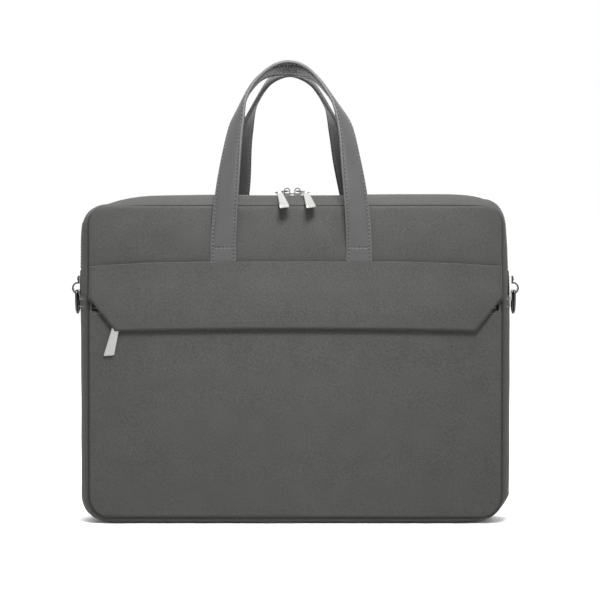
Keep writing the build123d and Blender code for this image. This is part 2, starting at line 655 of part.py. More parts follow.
def puller_tab(eye_diameter, eye_bore):
    """A tapered tab with a slanted end; its eye is at the origin and it points to -y."""
    half_top = PULLER_TOP_WIDTH / 2
    half_end = PULLER_END_WIDTH / 2
    shoulder = -eye_diameter / 2 - 0.6
    end = -PULLER_LENGTH
    outline = Polyline(
        (-half_top, shoulder),
        (half_top, shoulder),
        (half_end, end + PULLER_END_SLANT),
        (-half_end, end),
        close=True,
    )
    tab = extrude(make_face(outline), PULLER_THICKNESS / 2, both=True)
    upright = tab.edges().filter_by(Axis.Z)
    tab = fillet(upright, PULLER_CORNER)
    rims = tab.edges().group_by(Axis.Z)
    tab = chamfer(rims[0] + rims[-1], PULLER_BEVEL)
    thick = PULLER_NECK / 2
    neck = block(-EYE_WIDTH / 2, EYE_WIDTH / 2, shoulder - 2, 0, -thick, thick)
    lug = Rot(0, 90, 0) * Cylinder(eye_diameter / 2, EYE_WIDTH)
    bore = Rot(0, 90, 0) * Cylinder(eye_bore / 2, 4 * EYE_WIDTH)
    return tab + neck + lug - bore


def direction(yaw):
    """Unit vector in the zip's plane: 0 points across it to -y, positive turns to +x."""
    angle = math.radians(yaw)
    return Vector(math.sin(angle), -math.cos(angle), 0)


def eye_offset(link_yaw, puller_yaw):
    """From the crown to the eye: it hangs at the link's outer corner, on the puller's side."""
    out = direction(link_yaw)
    across = out.cross(Vector(0, 0, 1))
    to_puller = direction(puller_yaw)
    side = 1 if across.dot(to_puller) > 0 else -1
    corner = out * (LINK_LENGTH - LINK_CORNER) + across * side * (LINK_WIDTH / 2 - LINK_CORNER)
    return corner + to_puller * LINK_CORNER


def pull_set(frame, name, hole_height, link_yaw, puller_yaw, eye_rise, eye_sizes, droop, slider):
    """Slider, link and puller of one zip, placed by the frame on the tape's face."""
    save("slider_" + name, frame * slider)
    grip_z = PLATE_TOP + hole_height / 2
    eye = eye_offset(link_yaw, puller_yaw)
    lean = math.degrees(math.asin((eye_rise - grip_z) / eye.dot(direction(link_yaw))))
    turn = Pos(0, 0, grip_z) * Rot(0, 0, link_yaw) * Rot(-lean, 0, 0)
    save("link_" + name, frame * (turn * wire_loop()))
    flat_eye = Rot(0, 0, -link_yaw) * Pos(*eye) * Vertex(0, 0, 0)
    seat = (frame * (turn * flat_eye)).center()
    hinge = Plane(origin=seat, x_dir=frame.x_dir, z_dir=frame.z_dir)
    pose = Rot(0, 0, puller_yaw) * Rot(droop, 0, 0)
    save("puller_" + name, hinge * (pose * puller_tab(*eye_sizes)))
    grip = (frame * Vertex(0, 0, grip_z)).center()
    print_axis("link_" + name, frame, grip, link_yaw)
    print_axis("puller_" + name, frame, seat, puller_yaw)


def print_axis(name, frame, point, yaw):
    """Print where a link or a puller turns."""
    angle = math.radians(yaw)
    axis = frame.x_dir * math.cos(angle) + frame.y_dir * math.sin(angle)
    print(name, "turns at", round_point(point), "about", round_point(axis))


def round_point(vector):
    return [round(value, 4) for value in vector]


def resting_droop(eye_depth, eye_height):
    """How far a puller droops when it lies on the arched deck; heights are out of the seam."""
    from_centre = eye_height - DECK_CENTRE
    distance = math.hypot(eye_depth, from_centre)
    touching = math.asin((DECK_RADIUS + PULLER_CLEAR + PULLER_THICKNESS / 2) / distance)
    return 90 - math.degrees(touching - math.atan(eye_depth / from_centre))


def make_pulls():
    """Two sliders on the main zip and one on the front pocket."""
    offset = (SLIDER_LENGTH + SLIDER_NOSE_GAP) / 2
    eye_rise = PLATE_TOP + EYE_RISE
    for name, side in (("left", -1), ("right", 1)):
        origin = (SLIDER_MEET_X + side * offset, 0, DECK_TAPE_Z)
        frame = Plane(origin=origin, x_dir=(1, 0, 0), z_dir=(0, 0, 1))
        yaw = side * LINK_YAW
        droop = resting_droop(-eye_offset(yaw, PULLER_YAW).Y, TAPE_TOP + eye_rise)
        slider = slider_body(CROWN_HOLE_TOP, SLIDER_LOWER_DROP, False)
        sizes = (EYE_DIAMETER, EYE_BORE)
        pull_set(frame, name, CROWN_HOLE_TOP, yaw, PULLER_YAW, eye_rise, sizes, droop, slider)

    origin = (POCKET_SLIDER_X, -POCKET_TAPE_FACE, POCKET_ZIP_Z)
    frame = Plane(origin=origin, x_dir=(1, 0, 0), z_dir=(0, -1, 0))
    eye_rise = POCKET_FACE - POCKET_TAPE_FACE + POCKET_EYE_DIAMETER / 2 + SLIDER_RUN_FIT
    tilt = -POCKET_PULLER_TILT
    slider = slider_body(CROWN_HOLE_POCKET, POCKET_DROP, True)
    sizes = (POCKET_EYE_DIAMETER, POCKET_EYE_BORE)
    pull_set(frame, "pocket", CROWN_HOLE_POCKET, -LINK_YAW, tilt, eye_rise, sizes, 0, slider)


# ---------------------------------------------------------------- side rings
def make_side_ring(name, side):
    """Patch, riveted bridge and D-ring of one side; side is -1 on the left."""
    face = SIDE_FACE + PATCH_CLEAR
    outside = face + PATCH_THICKNESS
    half = PATCH_WIDTH / 2
    middle_z = (PATCH_BOTTOM_Z + PATCH_TOP_Z) / 2
    tall = PATCH_TOP_Z - PATCH_BOTTOM_Z
    lay = Plane(origin=(face, 0, middle_z), x_dir=(0, 1, 0), z_dir=(1, 0, 0))
    patch = extrude(lay * RectangleRounded(2 * half, tall, PATCH_CORNER), PATCH_THICKNESS)

    eye_half = BRIDGE_EYE_HEIGHT / 2
    root = outside + BRIDGE_STRAP
    side_view = Plane(origin=(outside, BRIDGE_WIDTH / 2, BRIDGE_Z), x_dir=(0, 0, -1), z_dir=(0, -1, 0))
    outer = bridge_outline(eye_half + BRIDGE_STRAP, BRIDGE_EYE_DEPTH + BRIDGE_STRAP)
    inner = bridge_outline(eye_half, BRIDGE_EYE_DEPTH)
    foot = eye_half + BRIDGE_STRAP + BRIDGE_FOOT
    sole = Pos(0, BRIDGE_STRAP / 2) * Rectangle(2 * foot, BRIDGE_STRAP)
    section = make_face(outer) + sole - make_face(inner)
    bridge = extrude(side_view * section, BRIDGE_WIDTH)

    rivets = []
    for way in (-1, 1):
        z = BRIDGE_Z + way * (foot - BRIDGE_FOOT / 2)
        spot = Plane(origin=(root, 0, z), x_dir=(0, 1, 0), z_dir=(1, 0, 0))
        rivets.append(extrude(spot * Circle(RIVET_DIAMETER / 2), RIVET_HEAD))

    bar_x = outside + RING_WIRE / 2 + RING_BACK_GAP
    bar_z = BRIDGE_Z - eye_half + RING_WIRE / 2 + RING_SEAT_GAP
    ring = d_ring(bar_x, bar_z)

    def place(shape):
        return shape if side > 0 else mirror(shape, Plane.YZ)

    save("ring_patch_" + name, place(patch))
    save("ring_bridge_" + name, place(bridge))
    save("ring_rivets_" + name, Compound(children=[place(rivet) for rivet in rivets]))
    save("d_ring_" + name, place(ring))
    print("d_ring", name, "turns at", round(side * bar_x, 3), 0, round(bar_z, 3))


def d_ring(bar_x, bar_z):
    """A wire D that hangs from its straight bar; the bar lies along Y."""
    reach = (RING_INNER_WIDTH + RING_WIRE) / 2
    corner = RING_WIRE * 0.75
    bend = bar_z - RING_HEIGHT + reach
    start = (bar_x, 0, bar_z)
    right_end = (bar_x, reach - corner, bar_z)
    right_top = (bar_x, reach, bar_z - corner)
    left_top = (bar_x, -reach, bar_z - corner)
    left_end = (bar_x, -reach + corner, bar_z)
    pieces = [
        Line(start, right_end),
        TangentArc([right_end, right_top], tangent=(0, 1, 0)),
        Line(right_top, (bar_x, reach, bend)),
        ThreePointArc((bar_x, reach, bend), (bar_x, 0, bar_z - RING_HEIGHT), (bar_x, -reach, bend)),
        Line((bar_x, -reach, bend), left_top),
        TangentArc([left_top, left_end], tangent=(0, 0, 1)),
        Line(left_end, start),
    ]
    section = Plane(origin=start, z_dir=(0, 1, 0)) * Circle(RING_WIRE / 2)
    return sweep(section, path=Wire(pieces))


def bridge_outline(half, depth):
    """Half-round bridge in (height, distance out)."""
    flat = depth * 0.4
    left = Line((-half, 0), (-half, flat))
    right = Line((half, 0), (half, flat))
    over = ThreePointArc((-half, flat), (0, depth), (half, flat))
    base = Line((-half, 0), (half, 0))
    return [left, right, over, base]


os.makedirs("parts", exist_ok=True)
make_shell()
make_inside()
make_trolley_sleeve()
make_front_pocket()
make_front_leaf()
make_yoke_and_flap()
make_handle("front", True)
make_handle("back", False)
make_pulls()
make_side_ring("left", -1)
make_side_ring("right", 1)
print("fold line y", round(FLAP_HINGE_Y, 3), "z", FLAP_HINGE_Z)
print("handle fold y", round(-HANDLE_FOOT_Y, 3), "z", HANDLE_HINGE_Z)
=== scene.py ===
"""The looks of a soft laptop briefcase: woven cloth walls, zips, leather handles and plated metal.

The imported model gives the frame: its boxes place every piece here, and its bodies carry them.
Metres, +Z up, -Y is the front, and X runs from side to side.
"""

from __future__ import annotations

import json
import logging
import math
from dataclasses import dataclass
from enum import Enum
from typing import Any, Callable, Sequence, Union

import bmesh
import bpy
import numpy as np
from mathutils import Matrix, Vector

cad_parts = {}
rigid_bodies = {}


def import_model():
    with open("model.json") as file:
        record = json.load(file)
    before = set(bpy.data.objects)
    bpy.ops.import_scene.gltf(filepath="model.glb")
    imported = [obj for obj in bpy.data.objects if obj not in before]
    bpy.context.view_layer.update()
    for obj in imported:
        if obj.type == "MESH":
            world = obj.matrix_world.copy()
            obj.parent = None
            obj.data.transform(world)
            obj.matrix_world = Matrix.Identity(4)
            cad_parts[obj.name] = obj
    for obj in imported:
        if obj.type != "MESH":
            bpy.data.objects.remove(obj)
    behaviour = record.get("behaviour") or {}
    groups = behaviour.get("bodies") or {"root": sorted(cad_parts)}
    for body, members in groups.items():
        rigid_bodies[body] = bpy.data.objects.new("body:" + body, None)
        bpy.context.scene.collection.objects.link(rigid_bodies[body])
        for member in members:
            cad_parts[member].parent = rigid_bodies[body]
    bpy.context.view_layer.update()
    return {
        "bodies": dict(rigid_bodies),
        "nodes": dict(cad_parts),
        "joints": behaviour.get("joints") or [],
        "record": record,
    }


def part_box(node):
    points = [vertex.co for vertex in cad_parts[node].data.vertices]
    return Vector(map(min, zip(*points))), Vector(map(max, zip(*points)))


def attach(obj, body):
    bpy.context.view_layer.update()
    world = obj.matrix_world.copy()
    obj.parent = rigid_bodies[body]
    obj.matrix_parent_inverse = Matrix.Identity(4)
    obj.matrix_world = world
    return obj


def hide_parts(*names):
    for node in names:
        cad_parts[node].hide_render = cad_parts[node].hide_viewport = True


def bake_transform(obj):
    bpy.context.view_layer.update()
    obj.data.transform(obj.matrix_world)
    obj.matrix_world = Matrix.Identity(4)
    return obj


LOG = logging.getLogger("briefcase")
MM = 0.001
THREAD = "thread"
PAD_FILL = 0.9  # how full a padded piece is
TURN_RINGS = 3  # rings of points round a cloth's turned edge
HEM_STEPS = np.array([0, 0.5, 1.5, 4.0]) * MM  # fine places from a plain cloth's edge
PANEL_STEPS = np.array([0, 0.3, 0.8, 1.5, 2.4, 3.6, 5.4, 8.0, 11.5, 15.5, 20.0]) * MM  # and from a panel's
Array = np.ndarray
Colour = tuple[float, float, float]
Faces = tuple[Array, Array, Array]  # outer face, inner face and thread places, by rows and columns
SEAM_SHADOW_SHARE = 0.9  # share of the painted seam shadow at a panel's edge
BAND_SEAM_SHADOW_SPAN = (0.3 * MM, 1.1 * MM)  # painted seam shadow: full at the first distance off a band's seam, none at the second
SEAM_SHADOW_COLOUR: Colour = (0.006, 0.006, 0.006)  # near-black colour of the painted shadow deep in a seam


# ---- shader expressions
def _operator(operation: str, swapped: bool = False) -> Callable[..., Socket]:
    """A method that takes a socket, and another value if there is one, through a Math node.

    Args:
        operation: The node's operation.
        swapped: Whether the other value comes first.

    Returns:
        The method.
    """

    def method(self: Socket, *others: Value) -> Socket:
        """This socket after the operation."""
        values = (*others, self) if swapped else (self, *others)
        return self.tree.node("ShaderNodeMath", {"operation": operation}, dict(enumerate(values)))

    return method


class Socket:
    """One output in a material's nodes that Python expressions compute with."""

    def __init__(self, tree: NodeTree, link: bpy.types.NodeSocket) -> None:
        """Wrap an output of a tree."""
        self.tree = tree
        self.link = link

    __add__, __radd__ = _operator("ADD"), _operator("ADD", True)
    __sub__, __rsub__ = _operator("SUBTRACT"), _operator("SUBTRACT", True)
    __mul__, __rmul__ = _operator("MULTIPLY"), _operator("MULTIPLY", True)
    __pow__, __gt__ = _operator("POWER"), _operator("GREATER_THAN")
    __abs__, sine = _operator("ABSOLUTE"), _operator("SINE")


Value = Union[Socket, float, int]


class NodeTree:
    """The nodes of one material."""

    def __init__(self, name: str) -> None:
        """Start an empty material.

        Args:
            name: The material's name.
        """
        self.material = bpy.data.materials.new(name)
        self.material.use_nodes = True
        self.material.node_tree.nodes.clear()

    def node(self, kind: str, settings: dict[str, Any] | None = None, inputs: dict[Any, Any] | None = None,
             output: int | str = 0) -> Socket:
        """Add a node.

        Args:
            kind: The node's type.
            settings: Its properties, set first.
            inputs: Values or sockets, by the input's name or number.
            output: The output that is returned.

        Returns:
            The chosen output.
        """
        made = self.material.node_tree.nodes.new(kind)
        for key, value in (settings or {}).items():
            setattr(made, key, value)
        for key, value in (inputs or {}).items():
            self._feed(made.inputs[key], value)
        return Socket(self, made.outputs[output])

    def _feed(self, socket: bpy.types.NodeSocket, value: Any) -> None:
        """Link an input, or set its value."""
        if isinstance(value, Socket):
            self.material.node_tree.links.new(value.link, socket)
        elif isinstance(value, tuple) and len(value) == 3 and socket.type == "RGBA":
            socket.default_value = (*value, 1.0)
        else:
            socket.default_value = value

    def blend(self, factor: Value, low: Any, high: Any) -> Socket:
        """Mix two colours by a factor."""
        return self.node("ShaderNodeMix", {"data_type": "RGBA"}, {0: factor, 6: low, 7: high}, 2)

    def tones(self, factor: Value, shade: Colour, dark: float, light: float) -> Socket:
        """Mix a colour's dark tone and its light tone by a factor."""
        return self.blend(factor, tuple(c * dark for c in shade), tuple(c * light for c in shade))

    def place(self) -> Socket:
        """The place on the object, in metres."""
        return self.node("ShaderNodeTexCoord", output="Object")

    def noise(self, size: float, detail: float = 2.0, stretch: Sequence[float] = (1, 1, 1)) -> Socket:
        """Soft noise about 0.5, whose blobs are about size metres wide.

        Args:
            size: The blobs' width in metres.
            detail: How much finer noise it holds.
            stretch: How much longer the blobs are along X, Y and Z.

        Returns:
            The noise, from 0 to 1.
        """
        scale = tuple(1.0 / way for way in stretch)
        spot = self.node("ShaderNodeMapping", {}, {"Vector": self.place(), "Scale": scale})
        return self.node("ShaderNodeTexNoise", {}, {"Vector": spot, "Scale": 1 / size, "Detail": detail})

    def threads(self) -> tuple[Socket, Socket, Socket]:
        """Metres along the warp and along the weft of a sewn piece, and the strength of the painted seam
        shadow there.
        """
        at = self.node("ShaderNodeAttribute", {"attribute_name": THREAD}, output="Vector")
        cut = self.node("ShaderNodeSeparateXYZ", {}, {0: at})
        outputs = cut.link.node.outputs
        return cut, Socket(self, outputs[1]), Socket(self, outputs[2])

    def bump(self, height: Value, depth: float) -> Socket:
        """A normal from a height of 0 to 1 that stands for depth metres."""
        return self.node("ShaderNodeBump", {}, {"Height": height, "Distance": depth, "Strength": 1.0})

    def surface(self, **inputs: Any) -> bpy.types.Material:
        """Finish the material with one Principled shader.

        Args:
            inputs: The shader's inputs, with _ for a space.

        Returns:
            The material.
        """
        named = {key.replace("_", " "): value for key, value in inputs.items()}
        shader = self.node("ShaderNodeBsdfPrincipled", {}, named)
        out = self.material.node_tree.nodes.new("ShaderNodeOutputMaterial")
        self.material.node_tree.links.new(shader.link, out.inputs["Surface"])
        return self.material


# ---- finishes
class Weave(Enum):
    """How the threads of a cloth cross."""

    PLAIN = "plain"
    TWILL = "twill"
    RIB = "rib"


@dataclass(frozen=True)
class Stuff:
    """What a piece is made of.

    Attributes:
        name: The material's name.
        shade: Its middle colour.
    """

    name: str
    shade: Colour


@dataclass(frozen=True)
class Cloth(Stuff):
    """A woven cloth.

    Attributes:
        weave: How the threads cross.
        pitch: Thread spacing in metres.
        relief: Depth of the weave in metres.
        fleck: How much the yarn's tone varies.
        sheen: Fuzz that lightens the cloth seen edge-on.
    """

    weave: Weave = Weave.PLAIN
    pitch: float = 0.55 * MM
    relief: float = 0.10 * MM
    fleck: float = 0.16
    sheen: float = 0.12

    def _height(self, warp: Socket, weft: Socket) -> Socket:
        """Height of the threads' surface, from 0 to 1."""
        turn = math.pi / self.pitch
        if self.weave is Weave.RIB:
            return abs((warp * turn).sine()) * 0.8 + abs((weft * turn).sine()) * 0.2
        if self.weave is Weave.TWILL:
            slanted = abs(((warp + weft) * turn).sine())
            return slanted * 0.75 + abs((weft * turn * 2).sine()) * 0.25
        across = (warp * turn).sine()
        along = (weft * turn).sine()
        over = across * along > 0
        warp_lens = abs(across) * abs(along) ** 0.4
        weft_lens = abs(along) * abs(across) ** 0.4
        return over * warp_lens + (1 - over) * weft_lens

    def material(self) -> bpy.types.Material:
        """Build the material."""
        tree = NodeTree(self.name)
        warp, weft, seam = tree.threads()
        height = self._height(warp, weft)
        slub = tree.noise(1.3 * MM, 3.0)
        mottle = tree.noise(24 * MM, 2.0)
        tone = height * 0.2 + slub * 0.6 + mottle * 0.2
        yarn = tree.tones(tone, self.shade, 1 - self.fleck, 1 + self.fleck)
        return tree.surface(
            # Painted shadow: the thread attribute's third value darkens the yarn toward near-black in seams.
            Base_Color=tree.blend(seam, yarn, SEAM_SHADOW_COLOUR),
            Roughness=0.80 + mottle * 0.12,
            Normal=tree.bump(height * 0.7 + slub * 0.3, self.relief),
            Sheen_Weight=self.sheen,
            Sheen_Roughness=0.45,
            Specular_IOR_Level=0.25,
        )


@dataclass(frozen=True)
class Leather(Stuff):
    """A smooth, lightly grained leather.

    Attributes:
        grain: Size of the grain's cells in metres.
        relief: Depth of the grain in metres.
        gloss: Roughness of the finish coat.
        shine: Strength of its highlights.
    """

    grain: float = 0.9 * MM
    relief: float = 0.05 * MM
    gloss: float = 0.42
    shine: float = 0.5

    def material(self) -> bpy.types.Material:
        """Build the material."""
        tree = NodeTree(self.name)
        inputs = {"Vector": tree.place(), "Scale": 1 / self.grain, "Smoothness": 0.4}
        cells = tree.node("ShaderNodeTexVoronoi", {"feature": "SMOOTH_F1"}, inputs, "Distance")
        _, _, seam = tree.threads()
        cloudy = tree.noise(16 * MM, 3.0)
        crease = tree.noise(3.5 * MM, 4.0, (1, 1, 2.5))
        tone = cloudy * 0.6 + cells * 0.15 + crease * 0.25
        return tree.surface(
            # Painted shadow: the thread attribute's third value darkens the leather in seams and in the
            # handle lining's creases.
            Base_Color=tree.blend(seam, tree.tones(tone, self.shade, 0.84, 1.14), SEAM_SHADOW_COLOUR),
            Roughness=self.gloss + (cloudy - 0.5) * 0.16,
            Normal=tree.bump(cells * 0.6 + crease * 0.4, self.relief),
            Specular_IOR_Level=self.shine,
        )


@dataclass(frozen=True)
class Plated(Stuff):
    """Plated cast metal.

    Attributes:
        gloss: Roughness.
        wear: How much the roughness varies with handling.
    """

    gloss: float
    wear: float = 0.10

    def material(self) -> bpy.types.Material:
        """Build the material."""
        tree = NodeTree(self.name)
        smear = tree.noise(4 * MM, 4.0)
        scratch = tree.noise(0.5 * MM, 2.0, (1, 1, 9))
        return tree.surface(
            Base_Color=tree.tones(smear, self.shade, 0.9, 1.0),
            Metallic=1.0,
            Roughness=self.gloss + (smear - 0.5) * self.wear + (scratch - 0.5) * self.wear,
            Normal=tree.bump(scratch, 0.004 * MM),
        )


@dataclass(frozen=True)
class Moulded(Stuff):
    """Nylon, thread, edge paint or foam: a plain body with a fine surface.

    Attributes:
        gloss: Roughness.
        grain: Size of the surface's fine grain in metres.
        relief: Depth of that grain in metres.
    """

    gloss: float = 0.5
    grain: float = 0.8 * MM
    relief: float = 0.03 * MM

    def material(self) -> bpy.types.Material:
        """Build the material."""
        tree = NodeTree(self.name)
        grain = tree.noise(self.grain, 3.0)
        return tree.surface(
            Base_Color=tree.tones(grain, self.shade, 0.85, 1.15),
            Roughness=self.gloss + (grain - 0.5) * 0.1,
            Normal=tree.bump(grain, self.relief),
        )


class Finish(Enum):
    """Every finish of the case, with the record's slot that it belongs to."""

    SHELL = "shell_fabric"
    LINING = "lining_fabric"
    PADDING = "foam"
    TAPE = "binding_tape"
    COIL = "zip_coil"
    LEATHER = "handle_leather"
    HANDLE_LINING = "handle_lining"
    EDGE_PAINT = "edge_paint"
    BOARD = "base_board"
    SATIN = "satin_nickel"
    SLIDER = "slider_nickel"
    DARK = "dark_nickel"
    CLOTH_THREAD = "cloth_thread"
    HANDLE_THREAD = "handle_thread"
    PAINTED_SHADE = "needle_hole"


class Wardrobe(dict):
    """The materials by finish, each made when it is first asked for."""

    RECIPES = {
        Finish.SHELL: Cloth("shell_weave", (0.0336, 0.0341, 0.0319), fleck=0.95, sheen=0.03),
        Finish.LINING: Cloth("lining_twill", (0.027, 0.027, 0.028), Weave.TWILL, 0.45 * MM, 0.05 * MM),
        Finish.PADDING: Moulded("closed_cell_padding", (0.22, 0.22, 0.22), 0.9, 1.6 * MM, 0.2 * MM),
        Finish.TAPE: Cloth("ribbed_tape", (0.060, 0.060, 0.058), Weave.RIB, 0.8 * MM, 0.12 * MM),
        Finish.COIL: Moulded("nylon_coil", (0.16, 0.16, 0.157), 0.38),
        Finish.LEATHER: Leather("handle_leather", (0.036, 0.036, 0.0365)),
        Finish.HANDLE_LINING: Leather("handle_lining_leather", (0.024, 0.024, 0.0245), relief=0.012 * MM,
                                      shine=0.25),
        Finish.EDGE_PAINT: Moulded("edge_paint", (0.05, 0.05, 0.05), 0.65, 3 * MM),
        Finish.BOARD: Cloth("board_cover", (0.03, 0.03, 0.03), Weave.TWILL),
        Finish.SATIN: Plated("satin_nickel", (0.44, 0.44, 0.422), 0.34),
        Finish.SLIDER: Plated("slider_nickel", (0.24, 0.24, 0.235), 0.24),
        Finish.DARK: Plated("dark_nickel", (0.07, 0.069, 0.068), 0.20),
        Finish.CLOTH_THREAD: Moulded("cloth_thread", (0.15, 0.15, 0.144), 0.7, 0.4 * MM),
        # The needle-hole finish is painted shade: near-black for needle holes, the yoke's shadow line and a
        # handle's upper cross row.
        Finish.PAINTED_SHADE: Moulded("needle_hole", (0.007, 0.007, 0.007), 0.8),
        Finish.HANDLE_THREAD: Moulded("handle_thread", (0.085, 0.085, 0.084), 0.6, 0.4 * MM),
    }

    def __missing__(self, finish: Finish) -> bpy.types.Material:
        """Make a finish's material and keep it."""
        self[finish] = self.RECIPES[finish].material()
        return self[finish]


# ---- small helpers
def smooth(value: Any, low: float, high: float) -> Any:
    """0 below low, 1 above high, and a smooth step between."""
    share = np.clip((np.asarray(value, float) - low) / (high - low), 0.0, 1.0)
    return share * share * (3 - 2 * share)


def unit(vectors: Array) -> Array:
    """Vectors at length 1."""
    length = np.linalg.norm(vectors, axis=-1, keepdims=True)
    return vectors / np.maximum(length, 1e-12)


def run_length(points: Array) -> Array:
    """Distance along a line of points, from 0."""
    steps = np.linalg.norm(np.diff(points, axis=0), axis=1)
    return np.concatenate([[0.0], np.cumsum(steps)])


def joined(*parts: Any) -> Array:
    """Arrays and numbers, spread to one shape and put side by side on a last axis."""
    return np.stack(np.broadcast_arrays(*parts), -1)


def off_path(spot: Array, normal: Array, out: Any, y: Any) -> Array:
    """Points over a path (x, z): distances out from it, N by M, at depths y."""
    return joined(spot[:, :1] + normal[:, :1] * out, y, spot[:, 1:] + normal[:, 1:] * out)


def upright(x: Array, outer: Any, inner: Any, z: Array) -> Faces:
    """The faces of an upright cloth whose outer and inner face lie at these depths."""
    return joined(x, outer, z), joined(x, inner, z), joined(x, z)


def resampled(places: Array, line: Array, *values: Any) -> list[Array]:
    """Values along a line of points, N by 3 or one for all, read at other distances along it."""
    far = run_length(line)
    spread = [np.broadcast_to(each, line.shape) for each in values]
    return [np.stack([np.interp(places, far, each[:, k]) for k in range(3)], 1) for each in spread]


def turned_in(near: Array) -> Array:
    """How far a rounded edge has turned in at shares of the way to it, from 0 to nearly 1."""
    return 1 - np.sqrt(1 - near**2 * 0.999)


def fanned(reach: Array, z: Array, fine: Array, half: float, coarse: float) -> tuple[Array, Array]:
    """A grid of rows at heights z that reach out to both sides: its places across and its heights."""
    across = edge_steps(fine, 2 * half, coarse) / half - 1
    return reach[:, None] * across, np.repeat(z[:, None], len(across), axis=1)


def rounded_reach(half: float, corner: float, away: Array) -> Array:
    """Half width of a patch with round corners, at distances from its end."""
    inside = np.clip(corner - away, 0, corner)
    return half - corner + np.sqrt(corner**2 - inside**2)


def edge_steps(fine: Sequence[float], span: float, coarse: float) -> Array:
    """Places from 0 to span: fine ones near both ends and even ones between.

    Args:
        fine: Distances from an end, rising, in metres.
        span: The whole distance.
        coarse: Spacing of the even places.

    Returns:
        The places, rising.
    """
    near = np.array([f for f in fine if f < span / 2])
    last = near[-1]
    count = max(int((span - 2 * last) / coarse), 2)
    middle = np.linspace(last, span - last, count + 1)[1:-1]
    return np.concatenate([near, middle, span - near[::-1]])


